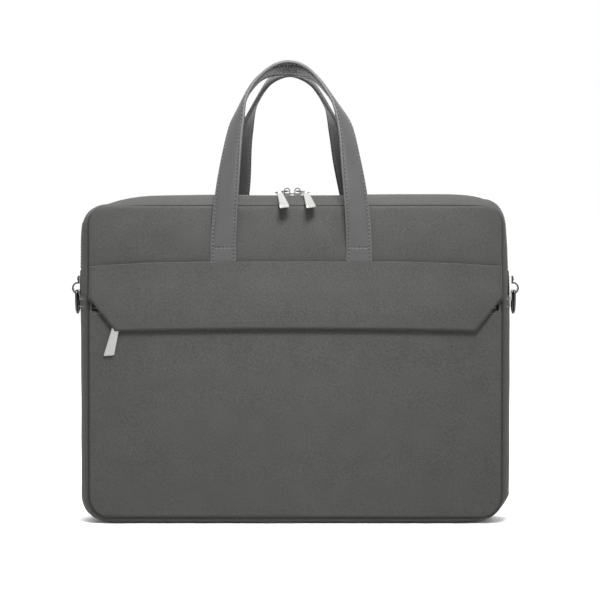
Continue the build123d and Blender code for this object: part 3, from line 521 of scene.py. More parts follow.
# ---- mesh drafting
class Draft:
    """Points, faces and thread places of one piece in the making."""

    def __init__(self) -> None:
        """Start empty."""
        self.points: list[Array] = []
        self.threads: list[Array] = []
        self.faces: list[tuple[int, ...]] = []
        self.finish: list[int] = []
        self.count = 0

    def add(self, points: Array, threads: Array, faces: Sequence[tuple], finish: Any = 0) -> None:
        """Add loose geometry.

        Args:
            points: Its points, N by 3.
            threads: Its thread places, N by 2, or by 3 with the strength of the painted seam shadow at each
                point.
            faces: Faces by number within these points.
            finish: The material's number, one for all or one per face.
        """
        base = self.count
        self.points.append(np.asarray(points, float))
        places = np.zeros((len(points), 3))
        places[:, : np.shape(threads)[1]] = threads
        self.threads.append(places)
        self.faces += [tuple(int(i) + base for i in face) for face in faces]
        self.finish += [finish] * len(faces) if isinstance(finish, int) else list(finish)
        self.count += len(points)

    def grid(self, points: Array, threads: Array, closed: bool = False, finish: Any = 0) -> None:
        """Add rows of points as one surface.

        Args:
            points: Rows by columns by 3.
            threads: Rows by columns by 2, or by 3.
            closed: Whether the last column joins the first.
            finish: One number, or one per column.
        """
        rows, cols = points.shape[:2]
        faces, numbers = [], []
        for row in range(rows - 1):
            for col in range(cols if closed else cols - 1):
                after = (col + 1) % cols
                low, high = row * cols, (row + 1) * cols
                faces.append((low + col, low + after, high + after, high + col))
                numbers.append(finish if isinstance(finish, int) else int(finish[col]))
        self.add(points.reshape(-1, 3), threads.reshape(-1, threads.shape[-1]), faces, numbers)

    def turned(self, front: Array, back: Array, threads: Array) -> None:
        """Add a cloth of two faces whose edge is turned round between them.

        Args:
            front: The outer face, rows by columns by 3.
            back: The inner face, as many points.
            threads: The thread places, rows by columns by 2, or by 3.
        """
        rows, cols = front.shape[:2]
        size = rows * cols
        edge, inner = self._rim(rows, cols)
        flat_front, flat_back = front.reshape(-1, 3), back.reshape(-1, 3)
        middle = (flat_front + flat_back)[edge] / 2
        half = (flat_front - flat_back)[edge] / 2
        outward = unit(flat_front[edge] - flat_front[inner])
        reach = np.linalg.norm(half, axis=1, keepdims=True)
        rings = []
        for step in range(1, TURN_RINGS + 1):
            angle = math.pi * step / (TURN_RINGS + 1)
            rings.append(middle + half * math.cos(angle) + outward * reach * math.sin(angle))
        quads = np.arange(size).reshape(rows, cols)[:-1, :-1].reshape(-1, 1) + [0, 1, cols + 1, cols]
        both = np.concatenate([quads, size + quads[:, ::-1]], 1).reshape(-1, 4)
        between = 2 * size + np.arange(len(edge) * TURN_RINGS).reshape(TURN_RINGS, -1)
        loops = np.concatenate([[edge], between, [size + edge]])
        after = np.roll(loops, -1, axis=1)
        turns = joined(loops[:-1], loops[1:], after[1:], after[:-1]).reshape(-1, 4)
        lines = threads.reshape(-1, threads.shape[-1])
        points = np.concatenate([flat_front, flat_back, *rings])
        places = np.concatenate([lines, lines] + [lines[edge]] * TURN_RINGS)
        self.add(points, places, np.concatenate([both, turns]))

    @staticmethod
    def _rim(rows: int, cols: int) -> tuple[Array, Array]:
        """Numbers of a grid's edge points in order, and of the point inside each."""
        numbers = np.arange(rows * cols).reshape(rows, cols)
        edge = np.concatenate([numbers[0, :-1], numbers[:-1, -1], numbers[-1, :0:-1], numbers[:0:-1, 0]])
        row, col = np.divmod(edge, cols)
        return edge, np.clip(row, 1, rows - 2) * cols + np.clip(col, 1, cols - 2)

    def tube(self, line: Array, across: Array, up: Array, section: Array, finish: int = 0) -> None:
        """Sweep a closed section along a line and close both ends.

        Args:
            line: Middle points, N by 3.
            across: First unit direction of the section at each, N by 3.
            up: Second unit direction, N by 3.
            section: Points (across, up) of the section, M by 2, or N by M by 2.
            finish: The material's number.
        """
        shape = section if section.ndim == 3 else np.repeat(section[None], len(line), axis=0)
        points = line[:, None, :] + across[:, None, :] * shape[..., :1] + up[:, None, :] * shape[..., 1:]
        sides = shape.shape[1]
        round_it = np.linspace(0, 1, sides) * np.ptp(shape[..., 0]) * 2
        first = self.count
        self.grid(points, joined(round_it, run_length(line)[:, None]), closed=True, finish=finish)
        last = first + (len(line) - 1) * sides
        self.faces.append(tuple(first + i for i in range(sides - 1, -1, -1)))
        self.faces.append(tuple(last + i for i in range(sides)))
        self.finish += [finish, finish]

    def make(self, name: str, materials: Sequence[bpy.types.Material]) -> bpy.types.Object:
        """Make the Blender object.

        Args:
            name: The piece's name.
            materials: The materials by number.

        Returns:
            The object, smooth-shaded, with its thread places stored.
        """
        mesh = bpy.data.meshes.new(name)
        mesh.from_pydata(np.concatenate(self.points).tolist(), [], self.faces)
        for material in materials:
            mesh.materials.append(material)
        mesh.polygons.foreach_set("material_index", self.finish)
        mesh.polygons.foreach_set("use_smooth", [True] * len(self.faces))
        store = mesh.attributes.new(THREAD, "FLOAT_VECTOR", "POINT")
        store.data.foreach_set("vector", np.concatenate(self.threads).astype(np.float32).ravel())
        work = bmesh.new()
        work.from_mesh(mesh)
        bmesh.ops.recalc_face_normals(work, faces=work.faces)
        work.to_mesh(mesh)
        work.free()
        mesh.update()
        return linked(name, mesh)


def linked(name: str, data: bpy.types.ID) -> bpy.types.Object:
    """A new object in the scene."""
    made = bpy.data.objects.new(name, data)
    bpy.context.scene.collection.objects.link(made)
    return made


def aim(thing: bpy.types.Object, way: Vector) -> None:
    """Turn a camera or a light to look along a direction."""
    thing.rotation_euler = way.to_track_quat("-Z", "Y").to_euler()


def circle_section(radius: float, sides: int = 6) -> Array:
    """A round section for tubes."""
    angle = np.arange(sides) / sides * 2 * math.pi
    return joined(np.cos(angle), np.sin(angle)) * radius


def cut_area(face: Array) -> tuple[float, float, float]:
    """Flat size of a cloth: greatest length of its rows and of its columns, and its area."""
    rows = np.linalg.norm(np.diff(face, axis=1), axis=2).sum(1)
    cols = np.linalg.norm(np.diff(face, axis=0), axis=2).sum(0)
    one = np.cross(face[1:, 1:] - face[:-1, :-1], face[1:, :-1] - face[:-1, 1:])
    area = float(np.linalg.norm(one, axis=2).sum() / 2)
    width, length = float(rows.max()), float(cols.max())
    return width, length, min(area, width * length)


# ---- the case's outline
@dataclass(frozen=True)
class BandTable:
    """How far one half of the band stands out, in millimetres.

    Attributes:
        flank: Height and stand-out up the side.
        corner: Slope (0 at the side, 1 at the top) and stand-out round the upper corner.
        roof: Distance from the corner and stand-out along the top.
        heel: Slope and stand-out round the lower corner.
        base: Distance from the corner and stand-out under the case.
    """

    flank: tuple[tuple[float, float], ...]
    corner: tuple[tuple[float, float], ...]
    roof: tuple[tuple[float, float], ...]
    heel: tuple[tuple[float, float], ...] = ((0, 9.5), (0.55, 9.5), (0.78, 8.0), (1, 6.5))
    base: tuple[tuple[float, float], ...] = ((0, 6.5), (1, 6.5))


LEFT_BAND = BandTable(
    flank=((0, 9.5), (258, 9.5), (268, 9.3), (276, 8.8), (281, 8.2), (285, 7.5)),
    corner=((0, 7.5), (0.17, 6.9), (0.43, 5.9), (0.61, 5.1), (0.8, 4.1), (0.92, 3.5), (1, 3.3)),
    roof=((0, 3.3), (3, 4.2), (12, 7.2), (21, 9.2), (30, 10.6), (40, 11.5), (55, 11.9), (90, 12.5),
          (118, 12.7), (134, 12.0), (180, 12.0)),
)
RIGHT_BAND = BandTable(
    flank=((0, 8.9), (60, 9.5), (150, 9.4), (190, 9.0), (226, 7.9), (240, 7.5), (259, 6.7), (268, 6.0),
           (278, 5.2), (285, 4.7)),
    corner=((0, 4.7), (0.17, 4.5), (0.4, 4.7), (0.63, 5.4), (0.87, 6.9), (0.96, 7.7), (1, 8.3)),
    roof=((0, 8.5), (5, 10.1), (12, 11.6), (21, 12.5), (34, 13.1), (80, 13.1), (116, 12.7), (132, 12.0),
          (180, 12.0)),
    heel=((0, 8.9), (0.15, 7.4), (0.3, 5.8), (0.54, 4.3), (0.82, 3.6), (1, 4.2)),
    base=((0, 4.2), (8, 5.3), (18, 6.1), (32, 6.4), (45, 6.5)),
)


@dataclass
class Outline:
    """The seam line of the case, which every wall and band follows.

    Attributes:
        half_width: From the middle to a side seam.
        half_depth: From the middle to the front seams.
        low: Height of the bottom seam.
        high: Height of the top seam.
        split: Height of the lower gusset's top edge.
        top_corner: Radius of the upper corners.
        bottom_corner: Radius of the lower corners.
        deck_radius: Radius of the arched zip deck.
        deck_top: How far the deck's middle stands over the top seam.
    """

    half_width: float
    half_depth: float
    low: float
    high: float
    split: float
    top_corner: float = 15.5 * MM
    bottom_corner: float = 19.0 * MM
    deck_radius: float = 49.0 * MM
    deck_top: float = 12.0 * MM

    @classmethod
    def from_frame(cls) -> "Outline":
        """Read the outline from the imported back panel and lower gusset."""
        panel, gusset, strip = (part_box(node) for node in ("back_panel", "lower_gusset", "back_zip_strip"))
        seam_drop = 3.0 * MM
        high = panel[1].z - seam_drop + 0.2 * MM
        return cls(half_width=panel[1].x, half_depth=gusset[1].y, low=panel[0].z - seam_drop, high=high,
                   split=gusset[1].z, deck_top=strip[1].z + 0.5 * MM - high)

    def _corners(self, z: Array, inset: float) -> list[tuple[float, Array]]:
        """Radius of the upper and the lower corners, and how far each height is from their end."""
        return [(max(self.top_corner - inset, 2 * MM), self.high - inset - z),
                (max(self.bottom_corner - inset, 2 * MM), z - self.low - inset)]

    def extent(self, height: Array, inset: float) -> Array:
        """Half width of the outline at a height, drawn in by inset."""
        wide = self.half_width - inset
        result = np.full_like(height, wide)
        for radius, away in self._corners(height, inset):
            result = np.minimum(result, rounded_reach(wide, radius, away))
        return result

    def edge_distance(self, x: Array, z: Array, inset: float = 0.0) -> Array:
        """How far inside the outline each place is."""
        side = self.half_width - inset - np.abs(x)
        distance = side
        for radius, away in self._corners(z, inset):
            from_corner = radius - np.hypot(np.clip(radius - side, 0, None), np.clip(radius - away, 0, None))
            in_corner = (side < radius) & (away < radius)
            distance = np.where(in_corner, from_corner, np.minimum(distance, away))
        return distance

    def panel_places(self, low: float, high: float, inset: float, coarse: float) -> tuple[Array, Array]:
        """x and z of a grid that fills the outline between two heights.

        Args:
            low: Lowest height wanted.
            high: Highest height wanted.
            inset: How far the panel is drawn in from the seams.
            coarse: Spacing of the grid away from the edges.

        Returns:
            x and z, rows by columns.
        """
        bottom, top = max(low, self.low + inset), min(high, self.high - inset)
        z = bottom + edge_steps(PANEL_STEPS, top - bottom, coarse)
        return fanned(self.extent(z, inset), z, PANEL_STEPS, self.half_width, coarse)

    def path(self, upper: bool, start: float, spacing: float = 5 * MM) -> tuple[Array, Array]:
        """The seam line from the left side over or under the case to the right.

        Args:
            upper: Over the top, or under the bottom.
            start: Height where both ends are.
            spacing: Distance between its points on straight runs.

        Returns:
            Points (x, z) and outward directions (x, z).
        """
        wide = self.half_width
        way = 1 if upper else -1
        radius = self.top_corner if upper else self.bottom_corner
        end = self.high if upper else self.low
        centre = end - way * radius
        rise = np.linspace(0, 1, max(int(abs(centre - start) / spacing), 2) + 1)[:-1]
        left = joined(-wide, start + (centre - start) * rise)
        angle = np.linspace(0, math.pi / 2, 13)
        out = joined(-np.cos(angle), way * np.sin(angle))
        arc = np.array([-wide + radius, centre]) + out * radius
        span = np.linspace(-wide + radius, 0, int((wide - radius) / spacing) + 1)[1:]
        flat = joined(span, end)
        half = np.concatenate([left, arc, flat])
        normal = np.concatenate([
            np.tile([-1.0, 0.0], (len(left), 1)), out, np.tile([0.0, float(way)], (len(flat), 1))
        ])
        whole, whole_out = (np.concatenate([one, one[::-1][1:] * [-1, 1]]) for one in (half, normal))
        return whole, whole_out

    def stand(self, spot: Array, normal: Array) -> Array:
        """How far the middle of the band stands out, all along a path."""
        up = normal[:, 1]
        result = np.zeros(len(spot))
        for side, table in ((-1, LEFT_BAND), (1, RIGHT_BAND)):
            here = spot[:, 0] * side >= 0
            x, z, rise = spot[here, 0] * side, spot[here, 1], up[here]
            reach = self.half_width - self.top_corner
            flank = np.interp(z, *np.array(table.flank).T * MM)
            corner = np.interp(rise, *np.array(table.corner).T * [[1], [MM]])
            roof = np.interp(reach - x, *np.array(table.roof).T * MM)
            over = np.where(x < reach, roof, corner)
            reach = self.half_width - self.bottom_corner
            turn = np.interp(-rise, *np.array(table.heel).T * [[1], [MM]])
            base = np.interp(reach - x, *np.array(table.base).T * MM)
            under = np.where(x < reach, base, turn)
            result[here] = np.where(rise > 0, over, np.where(rise < 0, under, flank))
        return result

    def height(self, spot: Array, normal: Array, y: Array) -> Array:
        """Outward distance of the band's cloth from the seam line.

        Args:
            spot: Path points, N by 2.
            normal: Path directions, N by 2.
            y: Depths, M.

        Returns:
            Distances, N by M.
        """
        reach = self.half_depth - 0.5 * MM
        share = np.clip(np.abs(y) / reach, 0, 1)[None, :]
        up = normal[:, 1][:, None]
        crest = self.stand(spot, normal)[:, None]
        side = (1 - share**2.25) ** (1 / 2.25)
        base = (1 - share**3.4) ** (1 / 3.4)
        radius = self.deck_radius
        fall = radius - np.sqrt(radius**2 - (share * reach) ** 2)
        deck = (self.deck_top - fall) / self.deck_top * (1 - share**14) ** (1 / 14)
        over = smooth(up, 0.2, 1.0)
        under = smooth(-up, 0.4, 1.0)
        profile = side * (1 - over - under) + deck * over + base * under
        along = run_length(spot)[:, None]
        ripple = 0.22 * MM * np.sin(along * 71 + 3 * share) * np.sin(along * 29 + 1.3)
        return crest * profile + ripple * share * (1 - share) * 4 * (np.abs(up) < 0.999)

    def side_height(self, side: int, z: Array, y: Array) -> Array:
        """How far places on the left (-1) or the right side (1) stand out from the seam."""
        normals = np.tile([float(side), 0.0], (len(z), 1))
        return np.diag(self.height(joined(side * self.half_width, z), normals, y)).copy()

    def band(self, upper: bool, start: float, y: Array, drop: float = 0.0) -> tuple[Array, Array]:
        """A grid of points over a band, and its thread places.

        Args:
            upper: Over the top, or under the bottom.
            start: Height where both ends are.
            y: Depths of its columns.
            drop: How far under the outer surface it lies.

        Returns:
            Points, N by M by 3, and thread places with the painted seam shadow, N by M by 3.
        """
        spot, normal = self.path(upper, start)
        out = self.height(spot, normal, y) - drop
        points = off_path(spot, normal, out, y)
        middle = points[len(points) // 2]
        # Painted shadow on the band's cloth along its front and back seams.
        shade = SEAM_SHADOW_SHARE * (1 - smooth(self.half_depth - np.abs(y), *BAND_SEAM_SHADOW_SPAN))
        return points, joined(run_length(spot)[:, None], run_length(middle), shade)


# ---- sewing and zips
class Body(Enum):
    """The bodies that pieces ride on."""

    CASE = "case"
    LEAF = "front_leaf"
    FLAP = "front_flap"
    FRONT_HANDLE = "front_handle"
    BACK_HANDLE = "back_handle"


FOLD_REACH = {Body.LEAF: 18 * MM, Body.FLAP: -7 * MM}  # a reach over the fold line for the leaf's and the flap's cloth; carry only reads which bodies these are


class Workshop:
    """Turns drafts into pieces: material, body and log line."""

    def __init__(self, frame: dict) -> None:
        """Keep what every piece needs.
        """
        self.frame = frame
        self.wardrobe = Wardrobe()
        self.outline = Outline.from_frame()
        self.fold = next(j for j in frame["joints"] if j["child"] == Body.LEAF.value)["pos_m"][2]

    def carry(self, piece: bpy.types.Object, body: Body) -> None:
        """Let a piece ride on its body, or bake it in place where it belongs to the leaf or the flap."""
        if body in FOLD_REACH:
            end = (0, 0, self.fold + FOLD_REACH[body])
            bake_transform(piece)
        else:
            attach(piece, body.value)

    def finish(self, draft: Draft, name: str, finishes: Sequence[Finish], body: Body,
               replaces: Sequence[str] = ()) -> bpy.types.Object:
        """Make a piece, dress it, and attach it to its body or bake it in place.

        Args:
            draft: The drafted geometry.
            name: The piece's name.
            finishes: Its finishes by number.
            body: What it rides on.
            replaces: The CAD nodes that it stands for.

        Returns:
            The finished piece.
        """
        piece = draft.make(name, [self.wardrobe[finish] for finish in finishes])
        if replaces:
            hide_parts(*replaces)
        slots = [material["slot"] for material in self.frame["record"]["materials"]]
        if finishes[0].value in slots:
            finishes[0].value
        self.carry(piece, body)
        LOG.info("%s: %d points on %s", name, draft.count, body.value)
        return piece

    def sewn(self, draft: Draft, name: str, body: Body = Body.CASE) -> None:
        """Make a piece of the cloth's stitches and the painted shadows of their needle holes."""
        self.finish(draft, name, [Finish.CLOTH_THREAD, Finish.PAINTED_SHADE], body)

    def cloth(self, faces: Faces, name: str, finish: Finish, body: Body = Body.CASE,
              replaces: Sequence[str] = (), fill: float = 0.0) -> None:
        """Make one piece with turned edges.

        Args:
            faces: Its outer face, its inner face and its thread places.
            name: The piece's name.
            finish: Its finish.
            body: What it rides on.
            replaces: The CAD nodes that it stands for.
            fill: How full a padded piece is, or 0 for a cloth; not used.
        """
        draft = Draft()
        draft.turned(*faces)
        piece = self.finish(draft, name, [finish], body, replaces)
        width, length, area = cut_area(faces[0])


@dataclass
class Stitching:
    """A row of lock stitches.

    Attributes:
        length: Length of a stitch.
        gap: Hole between two stitches.
        radius: Radius of the thread.
        hole: Half the width of the hole.
    """

    length: float = 2.2 * MM
    gap: float = 0.9 * MM
    radius: float = 0.22 * MM
    hole: float = 0.34 * MM

    def sew(self, draft: Draft, line: Array, up: Any, finish: int = 0, hole: int = 1) -> None:
        """Add stitches along a line, with a near-black disc between each two: the painted shadow of a needle
        hole.

        Args:
            draft: The draft that takes them.
            line: Points on the surface, N by 3.
            up: Unit directions off the surface, N by 3, or one.
            finish: The thread's material number.
            hole: The material number of the holes' painted shadow.
        """
        far = run_length(line)
        pitch = self.length + self.gap
        count = int((far[-1] - self.gap) / pitch)
        if count < 1:
            return
        first = (far[-1] - count * pitch + self.gap) / 2
        shares = np.array([0.0, 0.18, 0.5, 0.82, 1.0])
        lift = np.array([-0.9, 0.35, 0.6, 0.35, -0.9]) * self.radius
        thick = np.array([0.55, 1.0, 1.05, 1.0, 0.55])
        for number in range(count):
            places = first + number * pitch + shares * self.length
            spine, lifted = resampled(places, line, line, up)
            lifted = unit(lifted)
            along = unit(np.gradient(spine, axis=0))
            across = unit(np.cross(along, lifted))
            section = circle_section(self.radius)[None] * thick[:, None, None]
            draft.tube(spine + lifted * lift[:, None], across, lifted, section, finish)
            if number:
                # Painted shadow: a flat near-black disc where the needle hole lies between two stitches.
                spot = spine[0] - along[0] * self.gap / 2 + lifted[0] * 0.05 * MM
                ring = circle_section(1.0, 8) * [self.gap * 0.62, self.hole]
                rim = spot + along[0] * ring[:, :1] + across[0] * ring[:, 1:]
                draft.add(rim, np.zeros((8, 2)), [tuple(range(8))], hole)


@dataclass
class Coil:
    """One side of a coil zip.

    Attributes:
        pitch: Distance between two turns.
        wire: Radius of the coil's wire.
        half_wide: Half the coil's width.
        half_high: Half the coil's height.
        turn_points: Points in one turn.
    """

    pitch: float = 1.5 * MM
    wire: float = 0.34 * MM
    half_wide: float = 1.05 * MM
    half_high: float = 0.80 * MM
    turn_points: int = 10

    def wind(self, draft: Draft, line: Array, across: Any, up: Any, phase: float) -> None:
        """Wind the coil round a line.

        Args:
            draft: The draft that takes it.
            line: Middle points, N by 3.
            across: Unit directions across the zip, N by 3, or one.
            up: Unit directions off the tape, N by 3, or one.
            phase: Where in a turn it starts, in turns.
        """
        turns = int(run_length(line)[-1] / self.pitch)
        steps = np.arange(turns * self.turn_points + 1)
        places = steps / self.turn_points * self.pitch
        angle = (steps / self.turn_points + phase) * 2 * math.pi
        spine, side, rise = resampled(places, line, line, across, up)
        wound = spine + side * (np.cos(angle) * self.half_wide)[:, None]
        wound = wound + rise * (np.sin(angle) * self.half_high)[:, None]
        along = unit(np.gradient(wound, axis=0))
        out = unit(wound - spine)
        flat = unit(np.cross(along, out))
        draft.tube(wound, flat, unit(np.cross(flat, along)), circle_section(self.wire, 5))


# ---- simulated crown of a padded wall
@dataclass
class PressedWall:
    """Cloth sewn round its edge and pushed out by the padding behind it.

    Attributes:
        pressure: How hard the padding pushes.
        slack: How much larger the cloth is than its frame.
        cap: The furthest that it may move.
        spacing: Spacing of the simulated threads.
        frames: Simulated steps.
    """

    pressure: float = 3.0
    slack: float = 0.006
    cap: float = 3.0 * MM
    spacing: float = 8 * MM
    frames: int = 20

    def crown(self, width: float, height: float) -> Callable[[Array, Array], Array]:
        """Simulate a flat cloth of this size.

        Args:
            width: From the left edge to the right edge.
            height: From the bottom edge to the top edge.

        Returns:
            A function of (x, z), both from 0 to 1, that gives the distance moved outward.
        """
        cols = max(int(width / self.spacing), 8) + 1
        rows = max(int(height / self.spacing), 8) + 1
        u, v = np.meshgrid(np.linspace(0, 1, cols), np.linspace(0, 1, rows))
        points = joined(u * width, 0.0, v * height)
        draft = Draft()
        draft.grid(points, points[..., ::2])
        wall = draft.make("pressed_wall", [])
        edge = [i for i in range(rows * cols) if i % cols in (0, cols - 1) or i // cols in (0, rows - 1)]
        wall.vertex_groups.new(name="seam").add(edge, 1.0, "REPLACE")
        cloth = wall.modifiers.new("padding", "CLOTH")
        setup = cloth.settings
        for key, value in {
            "quality": 6, "mass": 0.3, "tension_stiffness": 30, "compression_stiffness": 30,
            "shear_stiffness": 20, "bending_stiffness": 4, "air_damping": 4, "use_pressure": True,
            "uniform_pressure_force": self.pressure, "shrink_min": -self.slack, "vertex_group_mass": "seam",
        }.items():
            setattr(setup, key, value)
        setup.effector_weights.gravity = 0
        cloth.point_cache.frame_start = 1
        cloth.point_cache.frame_end = self.frames
        scene = bpy.context.scene
        for step in range(1, self.frames + 1):
            scene.frame_set(step)
        shaped = wall.evaluated_get(bpy.context.evaluated_depsgraph_get()).data
        moved = np.array([vertex.co.y for vertex in shaped.vertices]).reshape(rows, cols)
        scene.frame_set(1)
        bpy.data.objects.remove(wall)
        largest = max(np.abs(moved).max(), 1e-9)
        LOG.info("crown of %.0f x %.0f mm moved %.1f mm", width / MM, height / MM, largest / MM)
        scaled = np.abs(moved) * min(1.0, self.cap / largest)

        def lookup(x: Array, z: Array) -> Array:
            """Read the crown between its points."""
            at = np.clip(x, 0, 1) * (cols - 1), np.clip(z, 0, 1) * (rows - 1)
            col = np.minimum(at[0].astype(int), cols - 2)
            row = np.minimum(at[1].astype(int), rows - 2)
            s, t = at[0] - col, at[1] - row
            low = scaled[row, col] * (1 - s) + scaled[row, col + 1] * s
            high = scaled[row + 1, col] * (1 - s) + scaled[row + 1, col + 1] * s
            return low * (1 - t) + high * t

        return lookup


# ---- walls
@dataclass
class Walls:
    """The sewn walls: the back panel, both gusset bands, their padding and linings.

    Attributes:
        shop: Makes the pieces.
        cloth: Thickness of the shell's cloth.
        roll: Radius of a panel's turned edge at the seam.
        seam_sink: How deep the seam lies under the panels' faces.
        back_crown: How far the back panel's padding pushes it out.
        lap: How far the lower gusset laps over the zip strips.
        spacing: Spacing of a panel's points away from its edges.
        lining_in: How far the linings end inside the seams.
        seam_shadow_width: Width of the painted seam shadow on a panel.
        corner_shadow_widening: How much wider that painted shadow is round the corners.
        gusset_foam: How deep under the gusset its foam lies, and its thickness.
        gusset_lining: The same of its lining.
        top_rows: The stitch rows, from the gusset's top edge down.
    """

    shop: Workshop
    cloth: float = 1.4 * MM
    roll: float = 2.6 * MM
    seam_sink: float = 2.4 * MM
    back_crown: float = 2.6 * MM
    lap: float = 0.6 * MM
    spacing: float = 6 * MM
    lining_in: float = 0.4 * MM
    seam_shadow_width: float = 0.35 * MM
    corner_shadow_widening: float = 0.60 * MM
    gusset_foam: tuple[float, float] = (2.0 * MM, 2.4 * MM)
    gusset_lining: tuple[float, float] = (4.8 * MM, 0.8 * MM)
    top_rows: tuple[float, float] = (2.4 * MM, 9.6 * MM)

    def face_depth(self, distance: Array, face: float) -> Array:
        """Depth of a panel's face, turned in at its seam, at distances inside it."""
        return face - self.seam_sink * turned_in(np.clip(1 - distance / self.roll, 0, 1))

    def panel(self, face: float, thick: float, low: float, high: float, side: int, inset: float = 0.0,
              crown: Callable[[Array, Array], Array] | None = None) -> Faces:
        """A wall's outer and inner face.

        Args:
            face: Its flat outer face, from the middle of the case.
            thick: Its thickness.
            low: Lowest height.
            high: Highest height.
            side: -1 for the front, 1 for the back.
            inset: How far it is drawn in from the seams.
            crown: How far it is pushed out at (x, z), both from 0 to 1.

        Returns:
            Outer face, inner face, and thread places with the painted seam shadow.
        """
        line = self.shop.outline
        x, z = line.panel_places(low, high, inset, self.spacing)
        inside = line.edge_distance(x, z, inset)
        depth = self.face_depth(inside, face)
        if crown is not None:
            depth = depth + crown((x / line.half_width + 1) / 2, (z - z.min()) / (z.max() - z.min()))
        # Painted shadow: the panel's colour darkens toward near-black at its seam, over a wider strip round
        # the upper corners.
        straight = line.half_width - line.top_corner
        width = self.seam_shadow_width + self.corner_shadow_widening * smooth(np.abs(x), straight, straight + 12 * MM)
        shade = SEAM_SHADOW_SHARE * (1 - smooth(inside / width, 0.0, 1.0))
        return joined(x, side * depth, z), joined(x, side * (depth - thick), z), joined(x, z, shade)

    def layer(self, node: str, name: str, finish: Finish, body: Body = Body.CASE,
              heights: tuple[float, float] = (-1, 1), inset: float | None = None) -> None:
        """Build the flat foam or lining behind a wall, as thick as its node.

        Args:
            node: The CAD node that it stands for.
            name: The piece's name.
            finish: Its finish; for foam a fill is passed on.
            body: What it rides on.
            heights: Lowest and highest height, cut off at the seams.
            inset: How far it is drawn in from the seams, if not as far as its node.
        """
        first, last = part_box(node)
        if inset is None:
            inset = self.shop.outline.half_width - last.x
        side = 1 if last.y > 0 else -1
        faces = self.panel(max(last.y, -first.y), last.y - first.y, *heights, side, inset=inset)
        self.shop.cloth(faces, name, finish, body, [node], PAD_FILL if finish is Finish.PADDING else 0.0)

    def edge_columns(self, first: float, last: float) -> Array:
        """Depths of a band's columns, close together where the cloth curves."""
        turn = np.linspace(0, 1, 19)
        across = first + (last - first) * (1 - np.cos(turn * math.pi)) / 2
        tight = np.array([0.04, 0.15]) * MM * np.sign(last - first)
        return np.concatenate([[first], first + tight, across[1:-1], last - tight[::-1], [last]])

    def band_cloth(self, upper: bool, start: float, y: Array, drop: float, thick: float,
                   lift: Callable[[Array], Array] | None = None) -> Faces:
        """Outer and inner face of a band."""
        line = self.shop.outline
        outer, threads = line.band(upper, start, y, drop)
        inner, _ = line.band(upper, start, y, drop + thick)
        if lift is not None:
            spot, normal = line.path(upper, start)
            out = lift(spot)[:, None]
            outer[..., 0] += normal[:, :1] * out
            outer[..., 2] += normal[:, 1:] * out
        return outer, inner, threads

    def build_back(self) -> None:
        """The back panel, its padding and its lining."""
        size = self.shop.outline
        crown = PressedWall(cap=self.back_crown).crown(2 * size.half_width, size.high - size.low)
        faces = self.panel(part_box("back_panel")[1].y, self.cloth, -1, 1, 1, crown=crown)
        self.shop.cloth(faces, "back_panel_cloth", Finish.SHELL, Body.CASE, ["back_panel"])
        self.layer("back_foam", "back_padding", Finish.PADDING)
        self.layer("back_lining", "back_lining_cloth", Finish.LINING, inset=self.lining_in)

    def build_lower_gusset(self) -> None:
        """The band down both sides and under the case, with its padding and lining."""
        shop = self.shop
        line = shop.outline
        reach = line.half_depth - 0.4 * MM
        y = self.edge_columns(-reach, reach)

        def lap(spot: Array) -> Array:
            """Lift of the top edge over the zip strips."""
            return self.lap * smooth(spot[:, 1], line.split - 16 * MM, line.split - 8 * MM)

        faces = self.band_cloth(False, line.split, y, 0.0, self.cloth, lap)
        shop.cloth(faces, "lower_gusset_cloth", Finish.SHELL, Body.CASE, ["lower_gusset"])
        inner = self.edge_columns(-reach + 3 * MM, reach - 3 * MM)
        faces = self.band_cloth(False, line.split - 1 * MM, inner, *self.gusset_foam)
        shop.cloth(faces, "gusset_padding", Finish.PADDING, Body.CASE, ["gusset_foam"], PAD_FILL)
        faces = self.band_cloth(False, line.split - 0.5 * MM, inner, *self.gusset_lining)
        shop.cloth(faces, "gusset_lining_cloth", Finish.LINING, Body.CASE, ["gusset_lining"])
        self._stitch_gusset_top(line)

    def _stitch_gusset_top(self, line: Outline) -> None:
        """Two stitch rows across each side, under the lower gusset's top edge."""
        draft = Draft()
        stitch = Stitching(length=2.6 * MM, gap=1.4 * MM, radius=0.38 * MM)
        depth = np.linspace(-line.half_depth + 1.4 * MM, line.half_depth - 1.4 * MM, 40)
        for down in self.top_rows:
            z = np.full(len(depth), line.split - down)
            for side in (-1, 1):
                out = line.side_height(side, z, depth) + self.lap + 0.1 * MM
                row = joined(side * (line.half_width + out), depth, z)
                up = unit(np.cross(unit(np.gradient(row, axis=0)), [0, 0, -side]))
                stitch.sew(draft, row, np.where(up[:, :1] * side > 0, up, -up))
        self.shop.sewn(draft, "gusset_stitches")

    def build_bindings(self) -> None:
        """The taped seam edges inside the case."""
        line = self.shop.outline
        outer = line.half_depth - 1.2 * MM
        rows = (
            ("back_binding_low", False, 1, Body.CASE, ["back_seam_binding"]),
            ("back_binding_high", True, 1, Body.CASE, []),
            ("front_binding", False, -1, Body.CASE, ["front_seam_binding"]),
            ("leaf_binding", True, -1, Body.LEAF, ["upper_seam_binding"]),
        )
        for name, upper, side, body, nodes in rows:
            spot, normal = line.path(upper, line.split)
            y = side * np.linspace(outer - 3.2 * MM, outer, 4)
            layers = [off_path(spot, normal, -depth, y) for depth in (0.6 * MM, 3.0 * MM)]
            faces = (*layers, joined(run_length(spot)[:, None], y))
            self.shop.cloth(faces, name, Finish.TAPE, body, nodes)


